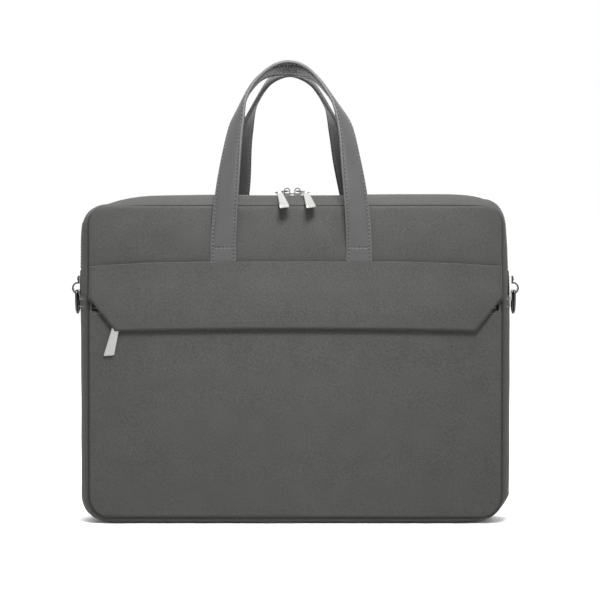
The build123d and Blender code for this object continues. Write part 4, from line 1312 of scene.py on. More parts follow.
# ---- zip deck
@dataclass
class ZipDeck:
    """The zip over the top of the case: two strips, two tapes and two coils.

    Attributes:
        shop: Makes the pieces.
        walls: Knows how bands are sewn.
        free_edge: A strip's folded edge, from the middle of the zip.
        hem: Distance of the stitches from that edge.
        tape_reach: A tape's outer edge, from the middle.
        tape_sink: How far the tapes lie under the cloth.
        tuck: How far the back strip's ends run down under the lower gusset.
        coil_middle: A coil's middle, from the middle of the zip.
        coil_start: Height of the coils' ends over the lower gusset's top edge.
        row_start: Height of the stitch rows' ends over it.
        strip_layer: How deep under the deck's surface a strip lies, and its thickness.
    """

    shop: Workshop
    walls: Walls
    free_edge: float = 6.6 * MM
    hem: float = 2.2 * MM
    tape_reach: float = 9.5 * MM
    tape_sink: float = 1.95 * MM
    tuck: float = 5 * MM
    coil_middle: float = 1.75 * MM
    coil_start: float = 26.5 * MM
    row_start: float = 24 * MM
    strip_layer: tuple[float, float] = (0.35 * MM, 1.3 * MM)

    def build(self) -> None:
        """Build both halves of the deck."""
        for side, body, half in ((1, Body.CASE, "back"), (-1, Body.LEAF, "front")):
            self._strip(side, body, half)
            self._tape(side, body, half)
            self._coil(side, body, half)

    def _strip(self, side: int, body: Body, half: str) -> None:
        """One cloth strip from the seam up to the zip, with its row of stitches."""
        line = self.shop.outline
        start = line.split - (self.tuck if side > 0 else 0.0)
        y = side * self.walls.edge_columns(self.free_edge, line.half_depth - 0.4 * MM)
        faces = self.walls.band_cloth(True, start, y, *self.strip_layer)
        self.shop.cloth(faces, half + "_zip_strip_cloth", Finish.SHELL, body, [half + "_zip_strip"])
        spot, normal = line.path(True, line.split + self.row_start)
        y = side * (self.free_edge + self.hem)
        out = line.height(spot, normal, np.array([y])) - self.strip_layer[0]
        draft = Draft()
        Stitching().sew(draft, off_path(spot, normal, out, y)[:, 0], joined(normal[:, 0], 0.0, normal[:, 1]))
        self.shop.sewn(draft, half + "_strip_stitches", body)

    def _tape_height(self, spot: Array, normal: Array) -> Array:
        """How far the tapes stand out along a path, N by 1."""
        return self.shop.outline.height(spot, normal, np.array([self.tape_reach])) - self.tape_sink

    def _tape(self, side: int, body: Body, half: str) -> None:
        """The woven tape that carries a coil."""
        line = self.shop.outline
        spot, normal = line.path(True, line.split + 1 * MM)
        y = side * np.linspace(0.75 * MM, self.tape_reach, 6)
        base = self._tape_height(spot, normal)
        layers = [off_path(spot, normal, base - drop, y) for drop in (0.0, 0.5 * MM)]
        faces = (*layers, joined(run_length(spot)[:, None], y))
        self.shop.cloth(faces, half + "_zip_tape_cloth", Finish.TAPE, body, [half + "_zip_tape"])

    def _coil(self, side: int, body: Body, half: str) -> None:
        """The coil on a tape's inner edge."""
        line = self.shop.outline
        spot, normal = line.path(True, line.split + self.coil_start, 3 * MM)
        out = self._tape_height(spot, normal) + Coil().half_high + 0.1 * MM
        points = off_path(spot, normal, out, side * self.coil_middle)[:, 0]
        up = joined(normal[:, 0], 0.0, normal[:, 1])
        draft = Draft()
        Coil().wind(draft, points, (0, side, 0), up, 0.0 if side > 0 else 0.5)
        self.shop.finish(draft, half + "_zip_coil_wire", [Finish.COIL], body, [half + "_zip_coil"])


# ---- front
@dataclass
class Front:
    """The upper front, the yoke and flap, and the zipped pocket behind them.

    Attributes:
        shop: Makes the pieces.
        walls: Knows how panels are sewn.
        yoke_sag: How much lower the yoke's ends are than its middle.
        yoke_curve: Exponent of that sag, which grows toward the ends.
        yoke_rise: Its top edge over the node's.
        yoke_thick: Its thickness.
        side_turn: Width over which the yoke and the flap turn in at the side seams.
        side_sink: How deep they turn in.
        flap_thick: Thickness of the flap.
        chamfer: Width of the flap's cut corners.
        flap_edge: Width of its soft edge.
        edge_turn: Share of its thickness by which that edge turns in.
        belly: How far it swells half way down.
        lining_lap: How far the flap's lining stands out past its cut corners.
        flap_lift: How much higher the flap's lower edge is in the middle.
        lift_reach: Distance from the middle where that ends.
        yoke_share: Share of the upper panel that the yoke covers and holds flat.
        rim_rise: How far the upper panel's cloth rises into the top seam.
        hem_depth: Distance of the pocket's stitches from its hem.
        pocket_crown: How far the padding pushes the pocket out.
        hem_hold: Shares of the pocket's height between which that fades away toward the hem.
        upper_crown: How far it pushes the upper panel out.
    """

    shop: Workshop
    walls: Walls
    yoke_sag: float = 4.9 * MM
    yoke_curve: float = 3.8
    yoke_rise: float = -0.2 * MM
    yoke_thick: float = 2.0 * MM
    side_turn: float = 3.2 * MM
    side_sink: float = 6.4 * MM
    flap_thick: float = 2.4 * MM
    chamfer: float = 25.5 * MM
    flap_edge: float = 1.5 * MM
    edge_turn: float = 0.32
    belly: float = 0.7 * MM
    lining_lap: float = 1.1 * MM
    flap_lift: float = 1.9 * MM
    lift_reach: float = 168 * MM
    yoke_share: float = 0.36
    rim_rise: float = 1.6 * MM
    hem_depth: float = 1.5 * MM
    pocket_crown: float = 2.6 * MM
    hem_hold: tuple[float, float] = (0.42, 0.82)
    upper_crown: float = 2.4 * MM

    def build(self) -> None:
        """Build every piece of the front."""
        self._upper_front()
        self._yoke()
        self._flap()
        self._pocket_panel()
        self._pocket_zip()
        self._pocket_wall()

    def _upper_front(self) -> None:
        """The panel over the yoke, its padding and its lining."""
        walls = self.walls
        size = self.shop.outline
        low = self.shop.fold + 1 * MM
        crown = PressedWall(cap=self.upper_crown).crown(2 * size.half_width, size.high - low)

        def above_yoke(x: Array, z: Array) -> Array:
            """The crown, which starts at the yoke's top edge."""
            return crown(x, np.clip((z - self.yoke_share) / (1 - self.yoke_share), 0, 1))

        faces = walls.panel(-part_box("upper_front_panel")[0].y, walls.cloth, low, 1, -1, crown=above_yoke)
        for face in faces[:2]:
            face[..., 2] += self.rim_rise * smooth(face[..., 2], size.high - 14 * MM, size.high)
        self.shop.cloth(faces, "upper_front_cloth", Finish.SHELL, Body.LEAF, ["upper_front_panel"])
        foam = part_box("upper_front_foam")[0].z, 1
        walls.layer("upper_front_foam", "upper_front_padding", Finish.PADDING, Body.LEAF, foam)
        walls.layer("upper_front_lining", "upper_front_lining_cloth", Finish.LINING, Body.LEAF, (low, 1),
                    walls.lining_in)

    def _side_turn(self, x: Array, share: Any = 1.0) -> Array:
        """How far the yoke and the flap turn in at the side seams, all or a share of the way."""
        near = np.clip(1 - (self.shop.outline.half_width - np.abs(x)) / self.side_turn, 0, 1) * share
        return self.side_sink * turned_in(near)

    def _yoke(self) -> None:
        """The yoke: from a sagging top edge down to the fold."""
        shop = self.shop
        size = shop.outline
        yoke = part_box("flap_yoke")
        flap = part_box("flap")
        x = edge_steps(np.array([0, 0.4, 1.0, 2.0, 3.5, 6.0, 10.0]) * MM, 2 * size.half_width, 5 * MM)
        x = x - size.half_width
        share = edge_steps(np.array([0, 0.015, 0.04, 0.08, 0.14]), 1.0, 0.09)
        top = yoke[1].z + self.yoke_rise - self.yoke_sag * np.abs(x / size.half_width) ** self.yoke_curve
        z = shop.fold + (top[None, :] - shop.fold) * share[:, None]
        places = np.repeat(x[None, :], len(share), axis=0)
        at_fold = -flap[0].y
        at_top = -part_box("front_handle_anchors")[0].y + 0.3 * MM + self.yoke_thick
        lean = 1 - (1 - share[:, None]) ** 1.6
        depth = at_fold + (at_top - at_fold) * lean * smooth(share, 0.0, 0.5)[:, None] ** 0.3
        depth = depth - self._side_turn(places)
        faces = upright(places, -depth, self.yoke_thick - depth, z)
        shop.cloth(faces, "yoke_cloth", Finish.SHELL, Body.LEAF, ["flap_yoke"])
        self._yoke_shadow_line(faces[0][-1], faces[1][-1])

    def _yoke_shadow_line(self, outer: Array, inner: Array) -> None:
        """A near-black strip along the yoke's top edge, beside and between the straps: a painted shadow line
        where the yoke meets the panel.
        """
        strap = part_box("front_handle_anchors")
        wide = Handle.width + 1.5 * MM
        gaps = [strap[0].x - 1 * MM, strap[0].x + wide, strap[1].x - wide, strap[1].x + 1 * MM]
        ends = [outer[0, 0] + 0.5 * MM, *gaps, outer[-1, 0] - 0.5 * MM]
        draft = Draft()
        for first, last in zip(ends[::2], ends[1::2]):
            x = np.linspace(first, last, int((last - first) / (4 * MM)) + 2)
            lines = outer[:, 1], inner[:, 1], outer[:, 2]
            far, near, top = (np.interp(x, outer[:, 0], line) for line in lines)
            middle = (far + near) / 2
            rise = np.array([-0.6, 0.2, 0.8])[:, None] * MM
            layers = [joined(x, middle + half * MM, top + rise) for half in (-0.15, 0.15)]
            draft.turned(*layers, layers[0][..., [0, 2]])
        self.shop.finish(draft, "yoke_painted_shadow_line", [Finish.PAINTED_SHADE], Body.LEAF)

    def _flap_places(self, wider: float, longer: float) -> tuple[Array, Array]:
        """x and z of a grid over the flap.

        Args:
            wider: How much further out its cut corners lie.
            longer: How much lower its bottom edge lies.

        Returns:
            x and z, rows by columns.
        """
        size = self.shop.outline
        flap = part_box("flap")
        top = self.shop.fold
        fine = PANEL_STEPS[:8]
        drop = edge_steps(fine, top - flap[0].z + longer, 4 * MM)
        reach = size.half_width - self.chamfer * np.clip(drop / (top - flap[0].z), 0, 1) + wider
        return fanned(np.minimum(reach, size.half_width), top - drop, fine, size.half_width, 5 * MM)

    def _lifted(self, x: Array, z: Array) -> Array:
        """Heights over the flap, with its lower edge drawn up in the middle."""
        top, low = self.shop.fold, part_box("flap")[0].z
        share = (top - z) / (top - low)
        return z + self.flap_lift * share * np.clip(1 - (x / self.lift_reach) ** 2, 0, 1)

    def _flap(self) -> None:
        """The flap: a padded cloth with a soft lower edge, and its lining."""
        shop = self.shop
        fold = shop.fold
        x, z = self._flap_places(0.0, 0.0)
        beside = np.abs(x).max(1, keepdims=True) - np.abs(x)
        low = z.min()
        edge = np.minimum(beside * 0.8, z - low)
        edge = np.where(z > fold - 1 * MM, edge + 4 * MM, edge)
        near = np.clip(1 - edge / self.flap_edge, 0, 1)
        belly = self.belly * np.sin(np.clip((fold - z) / (fold - low), 0, 1) * math.pi)
        depth = -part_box("flap")[0].y + belly * smooth(beside, 0, 30 * MM)
        side = self._side_turn(x, smooth(z, fold - 9 * MM, fold))
        turned = np.maximum(self.flap_thick * self.edge_turn * near**2, side)
        depth = depth - turned
        thick = np.maximum(self.flap_thick * 0.70 - turned * 0.6, 0.9 * MM)
        z = self._lifted(x, z)
        faces = upright(x, -depth, thick - depth, z)
        shop.cloth(faces, "flap_cloth", Finish.SHELL, Body.FLAP, ["flap"])
        x, z = self._flap_places(self.lining_lap, 0.7 * MM)
        z = self._lifted(x, z)
        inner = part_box("flap_lining")[1].y
        faces = upright(x, inner - 0.8 * MM, inner, z)
        shop.cloth(faces, "flap_lining_cloth", Finish.LINING, Body.FLAP, ["flap_lining"])

    def _pocket_panel(self) -> None:
        """The pocket's front with its hem and hem stitches."""
        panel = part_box("pocket_panel")
        size = self.shop.outline
        press = PressedWall(cap=self.pocket_crown, pressure=4.0)
        # The padding is pressed as if the panel ran on past its hem by a quarter of its height.
        crown = press.crown(2 * size.half_width, (panel[1].z - size.low) * 1.25)

        def held(x: Array, z: Array) -> Array:
            """The crown, held flat near the hem."""
            return crown(x, z * 0.80) * (1 - smooth(z, *self.hem_hold))

        face = -panel[0].y
        faces = self.walls.panel(face, panel[1].y - panel[0].y, -1, panel[1].z, -1, crown=held)
        self.shop.cloth(faces, "pocket_panel_cloth", Finish.SHELL, Body.CASE, ["pocket_panel"])
        x = np.linspace(-size.half_width + 5 * MM, size.half_width - 5 * MM, 60)
        row = joined(x, -face - 0.05 * MM, panel[1].z - self.hem_depth)
        draft = Draft()
        Stitching().sew(draft, row, (0, -1, 0))
        self.shop.sewn(draft, "pocket_hem_stitches")

    def _strip(self, node: str, name: str, x: Array, z: Array, replaces: Sequence[str]) -> None:
        """A straight strip of cloth as thick as a node, on a grid of x and z."""
        low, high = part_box(node)
        places, heights = np.meshgrid(x, z)
        faces = upright(places, low.y, high.y, heights)
        self.shop.cloth(faces, name, Finish.SHELL, Body.CASE, replaces)

    def _pocket_zip(self) -> None:
        """Header, tapes, facings and coils of the pocket's zip."""
        node = "pocket_zip_header"
        low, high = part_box(node)
        x = edge_steps(np.array([0, 0.4, 1.0, 2.0, 4.0]) * MM, high.x - low.x, 8 * MM) + low.x
        self._strip(node, "pocket_header_cloth", x, np.linspace(low.z, high.z, 7), [node])
        for name, inner in (("pocket_zip_tape", 0.75 * MM), ("pocket_zip_facing", 5.4 * MM)):
            node = name + "s"
            low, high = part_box(node)
            middle = (low.z + high.z) / 2
            for side, place, replaces in ((-1, "low", [node]), (1, "high", [])):
                z = middle + side * np.linspace(inner, high.z - middle, 4)
                self._strip(node, f"{name}_{place}", np.linspace(low.x, high.x, 60), z, replaces)
        low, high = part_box("pocket_zip_coils")
        x = np.linspace(low.x, high.x, 80)
        draft = Draft()
        for side in (-1, 1):
            z = (low.z + high.z) / 2 + side * ZipDeck.coil_middle
            line = joined(x, high.y - Coil().half_high - 0.1 * MM, z)
            Coil().wind(draft, line, (0, 0, side), (0, -1, 0), 0.25 + 0.25 * side)
        self.shop.finish(draft, "pocket_zip_coil_wire", [Finish.COIL], Body.CASE, ["pocket_zip_coils"])

    def _pocket_wall(self) -> None:
        """The padded wall behind the pocket."""
        for node, name, finish in (
            ("pocket_lining", "pocket_lining_cloth", Finish.LINING),
            ("front_wall_foam", "front_wall_padding", Finish.PADDING),
            ("front_wall_lining", "front_wall_lining_cloth", Finish.LINING),
        ):
            self.walls.layer(node, name, finish, heights=(-1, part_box(node)[1].z))


# ---- inside and back
@dataclass
class Inside:
    """What the case holds inside, and the sleeve on its back.

    Attributes:
        shop: Makes the pieces.
        board_corner: Radius of the board's corners.
        pad_edge: Width over which the divider thins toward its edge.
        tab_thick: Thickness of the tab.
        tab_bend: Radius of its bends.
        pocket_swell: How far the organiser's pockets swell.
        swell_height: Height over which they do.
        row_end: Distance from the ends of a stitch row to the cloth's edges.
        sleeve_hem: Width of the sleeve's sewn sides.
        sleeve_wall: Its thickness.
        sleeve_rows: Distances of the stitch rows from its side edges.
    """

    shop: Workshop
    board_corner: float = 5 * MM
    pad_edge: float = 9 * MM
    tab_thick: float = 1.3 * MM
    tab_bend: float = 3.0 * MM
    pocket_swell: float = 1.6 * MM
    swell_height: float = 40 * MM
    row_end: float = 2 * MM
    sleeve_hem: float = 10 * MM
    sleeve_wall: float = 1.4 * MM
    sleeve_rows: tuple[float, float] = (2.5 * MM, 7.5 * MM)

    def build(self) -> None:
        """Build every piece."""
        self._board()
        self._divider()
        self._tab()
        self._organiser()
        self._sleeve()

    def _board(self) -> None:
        """The cloth-covered board in the bottom."""
        low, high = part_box("base_board")
        x = edge_steps(HEM_STEPS, high.x - low.x, 10 * MM) + low.x
        y = edge_steps(HEM_STEPS, high.y - low.y, 4 * MM) + low.y
        places, depths = np.meshgrid(x, y)
        reach = (high.y - low.y) / 2
        places = places * rounded_reach(high.x, self.board_corner, reach - np.abs(depths)) / high.x
        draft = Draft()
        draft.turned(joined(places, depths, high.z), joined(places, depths, low.z), joined(places, depths))
        self.shop.finish(draft, "covered_board", [Finish.BOARD], Body.CASE, ["base_board"])

    def _divider(self) -> None:
        """The padded divider and the tape bound over its top edge."""
        low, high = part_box("laptop_divider")
        fine = np.array([0, 0.5, 1.5, 3.0, 6.0, 10.0, 15.0]) * MM
        z = low.z + edge_steps(fine, high.z - low.z, 9 * MM)
        reach = rounded_reach(high.x, self.shop.outline.bottom_corner + 3 * MM, z - low.z)
        x, heights = fanned(reach, z, fine, high.x, 9 * MM)
        middle, thick = (low.y + high.y) / 2, (high.y - low.y) / 2
        edge = np.minimum(reach[:, None] - np.abs(x), heights - low.z)
        puff = thick * (0.35 + 0.65 * smooth(edge, 0, self.pad_edge))
        faces = upright(x, middle - puff, middle + puff, heights)
        nodes = ["laptop_divider"]
        self.shop.cloth(faces, "laptop_divider_pad", Finish.LINING, Body.CASE, nodes, PAD_FILL)
        self._edge_tape("divider_binding", high.x - 1 * MM, high.z, middle, thick + 0.35 * MM, 9 * MM)

    def _edge_tape(self, name: str, half: float, top: float, middle: float, reach: float,
                   down: float) -> None:
        """A tape folded over a top edge.

        Args:
            name: The piece's name.
            half: Half its length.
            top: Height of the edge that it covers.
            middle: Depth of that edge's middle.
            reach: Half its thickness across the edge.
            down: How far it comes down each face.
        """
        angle = np.linspace(0, math.pi, 7)
        round_y = middle - reach * np.cos(angle)
        round_z = top - 0.6 * MM + reach * np.sin(angle) * 0.5
        y = np.concatenate([[middle - reach] * 2, round_y, [middle + reach] * 2])
        z = np.concatenate([[top - down, top - down / 2], round_z, [top - down / 2, top - down]])
        normal = unit(joined(-np.gradient(z), np.gradient(y)))
        self._extrude(joined(y, z), normal * 0.3 * MM, np.linspace(-half, half, 50), name)

    def _extrude(self, profile: Array, inward: Array, x: Array, name: str,
                 replaces: Sequence[str] = ()) -> None:
        """A tape with one (y, z) profile all along x.

        Args:
            profile: The outer face's profile, N by 2.
            inward: How far the inner face lies off it, N by 2.
            x: Places along the tape.
            name: The piece's name.
            replaces: The CAD nodes that it stands for.
        """
        outer, inner = (joined(x, each[:, :1], each[:, 1:]) for each in (profile, profile - inward))
        faces = outer, inner, joined(x, run_length(profile)[:, None])
        self.shop.cloth(faces, name, Finish.TAPE, Body.CASE, replaces)

    def _tab(self) -> None:
        """The hook-and-loop tab over the laptop's space."""
        low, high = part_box("laptop_tab")
        radius = self.tab_bend
        half_way = (low.z + high.z) / 2
        angle = np.linspace(0, math.pi / 2, 6)
        near, far = radius * np.sin(angle), radius * np.cos(angle)
        line = np.concatenate([
            [(low.y, low.z), (low.y, half_way)], joined(low.y + radius - far, high.z - radius + near),
            joined(high.y - radius + near, high.z - radius + far), [(high.y, half_way), (high.y, low.z)],
        ])
        tangent = unit(np.gradient(line, axis=0))
        inward = joined(-tangent[:, 1], tangent[:, 0]) * self.tab_thick
        self._extrude(line, inward, np.linspace(low.x, high.x, 12), "laptop_tab_strap", ["laptop_tab"])

    def _organiser(self) -> None:
        """A panel of slip pockets on the front wall, bound along its top and sewn into three."""
        low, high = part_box("organiser_panel")
        x = edge_steps(HEM_STEPS, high.x - low.x, 6 * MM) + low.x
        z = edge_steps(HEM_STEPS, high.z - low.z, 8 * MM) + low.z
        places, heights = np.meshgrid(x, z)
        third = (high.x - low.x) / 3
        pocket = np.abs(np.sin((places - low.x) / third * math.pi)) ** 0.6
        depth = high.y + self.pocket_swell * pocket * smooth(heights, low.z, low.z + self.swell_height)
        faces = upright(places, depth, depth - 1.0 * MM, heights)
        self.shop.cloth(faces, "organiser_cloth", Finish.LINING, Body.CASE, ["organiser_panel"])
        draft = Draft()
        rows = np.linspace(low.z + self.row_end, high.z - self.row_end, 30)
        for turn in (0.02, 1, 2, 2.98):
            Stitching().sew(draft, joined(low.x + third * turn, high.y + 0.15 * MM, rows), (0, 1, 0))
        self.shop.sewn(draft, "organiser_stitches")

    def _sleeve(self) -> None:
        """The sleeve on the back for a suitcase's tow handle."""
        low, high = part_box("trolley_sleeve")
        hem, wall, half = self.sleeve_hem, self.sleeve_wall, high.x
        gap = high.y - low.y - wall
        x = np.concatenate([
            np.linspace(-half, -half + hem, 6), np.linspace(-half + hem, half - hem, 34)[1:-1],
            np.linspace(half - hem, half, 6),
        ])
        rise = smooth(half - np.abs(x), hem - 1 * MM, hem + 9 * MM)
        z = edge_steps(HEM_STEPS, high.z - low.z, 8 * MM) + low.z
        places, heights = np.meshgrid(x, z)
        mouth = smooth(np.abs(heights - (low.z + high.z) / 2), (high.z - low.z) * 0.3, (high.z - low.z) / 2)
        skin = low.y + 2.0 * MM
        depth = skin + rise[None, :] * (gap - 1.6 * MM + 1.4 * MM * mouth) + wall
        faces = upright(places, depth, depth - wall, heights)
        self.shop.cloth(faces, "trolley_sleeve_cloth", Finish.SHELL, Body.CASE, ["trolley_sleeve"])
        draft = Draft()
        rows = np.linspace(low.z + self.row_end, high.z - self.row_end, 40)
        for side in (-1, 1):
            for inward in self.sleeve_rows:
                Stitching().sew(draft, joined(side * (half - inward), skin + wall, rows), (0, 1, 0))
        at = np.linspace(-half + hem, half - hem, 80)
        lift = np.interp(at, x, rise) * (gap - 0.2 * MM)
        for row_z in (low.z + 4 * MM, high.z - 4 * MM):
            Stitching().sew(draft, joined(at, skin + lift + wall, row_z), (0, 1, 0))
        self.shop.sewn(draft, "sleeve_stitches")


# ---- handles
class StrapFace(Enum):
    """The materials of a strap, by number in its mesh."""

    HIDE = 0
    LINING = 1
    EDGE = 2
    THREAD = 3
    PAINTED_SHADE = 4


ARCHES = {
    "front": (
        (0.955, 1.00, 0.251, 0.0),
        (0.868, 0.80, 0.520, -0.4),
        (0.757, 0.46, 0.732, -1.0),
        (0.560, 0.20, 0.877, -3.2),
        (0.305, 0.05, 0.971, -3.2),
    ),
    "back": (
        (0.885, 1.00, 0.245, 2.8),
        (0.755, 0.80, 0.508, 0.4),
        (0.635, 0.46, 0.716, -0.6),
        (0.440, 0.20, 0.866, -1.0),
        (0.225, 0.05, 0.965, -1.2),
    ),
}


@dataclass
class Handle:
    """One padded leather handle, from a foot over the arch to the other foot.

    Each arch is given from the foot up: share of the foot's spread, share of the way out from the
    apex to the bow, share of the rise, and shift to +x in millimetres.

    Attributes:
        shop: Makes the pieces.
        side: -1 for the front handle, 1 for the back one.
        width: Width of the strap.
        edge_half: Half the thickness of its two leathers at the stitched margin.
        pad_half: Half its thickness over the padding.
        margin: Width of the flat margin beside the padding.
        stitch_in: Distance of the stitches from the edge.
        roof_tilt: How far the strap leans at the top of the arch, in degrees.
        foot_lean: Slope of the strap where it leaves its sewn foot, inward and out from the wall.
        bow: How far the legs stand out over the top seam.
        mid_gap: Between the two handles at the top.
        foot_gap: From the fold line to the lowest point of the bending leather.
        tail: How far a foot reaches below the fold line.
        tail_round: Radius of a foot's lower corners.
        top_pad: Padding at the top of the arch that its place allows for.
        foot_under: From the wall to the middle of a sewn foot.
        cross_row: Height of the stitch rows across a foot, over the fold line.
        bend: How far the bending leather reaches below and above the fold line; not used.
        foot_thin: Heights over the fold line between which a foot's margin gets its full thickness.
        filling: Heights over the cross row between which the padding starts and is full.
        dome: Exponents of the padding's outline: how flat its top is, and how steep its sides are.
        lining_pad: Padding on the lining's face, as a share of the front's.
        even_twist: Share of the strap's turn that runs evenly up each leg.
        late_twists: Further shares, each with its start and end on the way from foot (0) to apex (1).
        wear: Height of the padding's worn waves, and how many radians of them a metre holds.
        crease_depth: Depth of the lining's wrinkles.
        crease_reach: Shares of the arch's height between which they grow.
        past_margin: How wide a row across the foot is, as a share of the margins' distance.
        samples: Places along the arch.
    """

    shop: Workshop
    side: int
    width: float = 24.0 * MM
    edge_half: float = 1.2 * MM
    pad_half: float = 2.5 * MM
    margin: float = 2.9 * MM
    stitch_in: float = 2.4 * MM
    roof_tilt: float = 30.0
    foot_lean: tuple[float, float] = (0.04, 0.19)
    bow: float = 6.3 * MM
    mid_gap: float = 0.8 * MM
    foot_gap: float = 0.2 * MM
    tail: float = 20.5 * MM
    tail_round: float = 0.8 * MM
    top_pad: float = 2.3 * MM
    foot_under: float = 0.65 * MM
    cross_row: float = 0.5 * MM
    bend: tuple[float, float] = (3.5 * MM, 12.5 * MM)
    foot_thin: tuple[float, float] = (-7 * MM, -1.5 * MM)
    filling: tuple[float, float] = (0.4 * MM, 9 * MM)
    dome: tuple[float, float] = (3.2, 0.62)
    lining_pad: float = 0.8
    even_twist: float = 0.84
    late_twists: tuple[tuple[float, float, float], ...] = ((0.12, 0.58, 0.74), (0.145, 0.84, 1.0))
    wear: tuple[float, float] = (0.10 * MM, 180)
    crease_depth: float = 0.35 * MM
    crease_reach: tuple[float, float] = (0.70, 0.97)
    past_margin: float = 1.12
    samples: int = 150

    def __post_init__(self) -> None:
        """Read the handle's place from the frame."""
        front = self.side < 0
        self.name = "front" if front else "back"
        self.body = Body.FRONT_HANDLE if front else Body.BACK_HANDLE
        self.base = Body.LEAF if front else Body.CASE
        low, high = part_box(self.name + "_handle_anchors")
        joint = next(j for j in self.shop.frame["joints"] if j["child"] == self.body.value)
        self.fold_y = abs(joint["pos_m"][1])
        self.fold_z = joint["pos_m"][2]
        self.middle = (low.x + high.x) / 2
        self.spread = (high.x - low.x - self.width) / 2
        self.panel_y = min(abs(low.y), abs(high.y))
        tilt = math.radians(self.roof_tilt)
        reach = self.width / 2 * math.sin(tilt) + self.top_pad * math.cos(tilt)
        self.apex_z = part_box(self.name + "_handle_face")[1].z - reach
        self.apex_y = self.width / 2 * math.cos(tilt) + self.top_pad * math.sin(tilt) + self.mid_gap / 2

    def _knots(self) -> Array:
        """Points that the strap's middle passes, from the left foot to the right one."""
        foot_z = self.fold_z + self.foot_gap
        rise = self.apex_z - foot_z
        lean = self.fold_y + self.bow - self.apex_y
        left = [(-self.spread, self.fold_y, foot_z)]
        right = [(self.spread, self.fold_y, foot_z)]
        shift = 0.0
        for wide, depth, height, shift in ARCHES[self.name]:
            y, z = self.apex_y + lean * depth, foot_z + rise * height
            left.append((shift * MM - self.spread * wide, y, z))
            right.append((shift * MM + self.spread * wide, y, z))
        return np.array(left + [(shift * MM, self.apex_y, self.apex_z)] + right[::-1])

    @staticmethod
    def _smooth_line(knots: Array, ends: tuple[Array, Array], count: int) -> tuple[Array, Array]:
        """A cubic spline through points.

        Args:
            knots: The points.
            ends: Its directions at the first and the last point.
            count: How many places are wanted along it.

        Returns:
            Evenly spaced places and unit directions.
        """
        step = np.linalg.norm(np.diff(knots, axis=0), axis=1)
        at = np.concatenate([[0.0], np.cumsum(step)])
        size = len(knots)
        rows = np.eye(size)
        right = np.zeros_like(knots)
        slope = np.diff(knots, axis=0) / step[:, None]
        for i in range(1, size - 1):
            rows[i, i - 1 : i + 2] = step[i - 1], 2 * (step[i - 1] + step[i]), step[i]
            right[i] = 6 * (slope[i] - slope[i - 1])
        rows[0, :2] = 2 * step[0], step[0]
        rows[-1, -2:] = step[-1], 2 * step[-1]
        right[0] = 6 * (slope[0] - ends[0])
        right[-1] = 6 * (ends[1] - slope[-1])
        curve = np.linalg.solve(rows, right)
        fine = np.linspace(0, at[-1], count * 8)
        piece = np.clip(np.searchsorted(at, fine) - 1, 0, size - 2)
        h = step[piece][:, None]
        a = (at[piece + 1] - fine)[:, None] / h
        b = 1 - a
        line = a * knots[piece] + b * knots[piece + 1]
        line = line + ((a**3 - a) * curve[piece] + (b**3 - b) * curve[piece + 1]) * h**2 / 6
        line, = resampled(np.linspace(0, run_length(line)[-1], count), line, line)
        return line, unit(np.gradient(line, axis=0))

    def _frames(self) -> tuple[Array, Array, Array, Array]:
        """Places of the strap with its directions.

        Returns:
            Middle points, directions across, directions out of the face, and height over the fold.
        """
        inward, out = self.foot_lean
        ends = unit(np.array([inward, out, 1.0])), unit(np.array([inward, -out, -1.0]))
        line, along = self._smooth_line(self._knots(), ends, self.samples)
        tail_steps = np.linspace(1, 0, 9)[:-1]
        under = self.panel_y + self.foot_under
        tail_y = under + (self.fold_y - under) * smooth(1 - tail_steps, 0.35, 1.0)
        tail = joined(-self.spread, tail_y, self.fold_z + self.foot_gap - self.tail * tail_steps)
        line = np.concatenate([tail, line, tail[::-1] * [-1, 1, 1]])
        up = np.tile([0.0, 0.0, 1.0], (len(tail), 1))
        along = np.concatenate([up, along, -up])
        order = np.linspace(0, 1, self.samples)
        from_foot = np.minimum(order, 1 - order) * 2
        share = self.even_twist * (from_foot - from_foot**8 / 8)
        for more, first, last in self.late_twists:
            share = share + more * smooth(from_foot, first, last)
        twist = math.radians(90 + self.roof_tilt) * share
        twist = np.concatenate([np.zeros(len(tail)), twist, np.zeros(len(tail))])[:, None]
        line = line * [1, self.side, 1] + [self.middle, 0, 0]
        along = along * [1, self.side, 1]
        front = np.array([0.0, float(self.side), 0.0])
        outward = unit(np.cross(front, along)) * (-self.side)
        forward = unit(np.cross(along, outward)) * (-self.side)
        face = forward * np.cos(twist) + outward * np.sin(twist)
        across = forward * np.sin(twist) - outward * np.cos(twist)
        return line, across, face, line[:, 2] - self.fold_z

    def _section(self) -> tuple[Array, Array, Array]:
        """The strap's outline across its width.

        Returns:
            Places across, which face each is on (1 front, -1 back), and each place's share of padding.
        """
        half = self.width / 2
        inner = half - self.margin
        flat = np.array([half - 0.25 * MM, half - 0.7 * MM, half - self.stitch_in, inner + 0.3 * MM])
        domed = inner * np.array([0.97, 0.90, 0.78, 0.60, 0.35, 0.0])
        one = np.concatenate([-flat, -domed, domed[::-1][1:], flat[::-1]])
        pad = np.clip(1 - np.abs(one / inner) ** self.dome[0], 0, 1) ** self.dome[1]
        across = np.concatenate([one, [half], one[::-1], [-half]])
        face = np.concatenate([np.ones(len(one)), [0], -np.ones(len(one)), [0]])
        padding = np.concatenate([pad, [0], pad[::-1] * self.lining_pad, [0]])
        return across, face, padding

    def _edge(self, height: Any) -> Any:
        """Half the thickness of the stitched margin at a height, which is thinner in the foot."""
        return self.edge_half * (0.5 + 0.5 * smooth(height, *self.foot_thin))

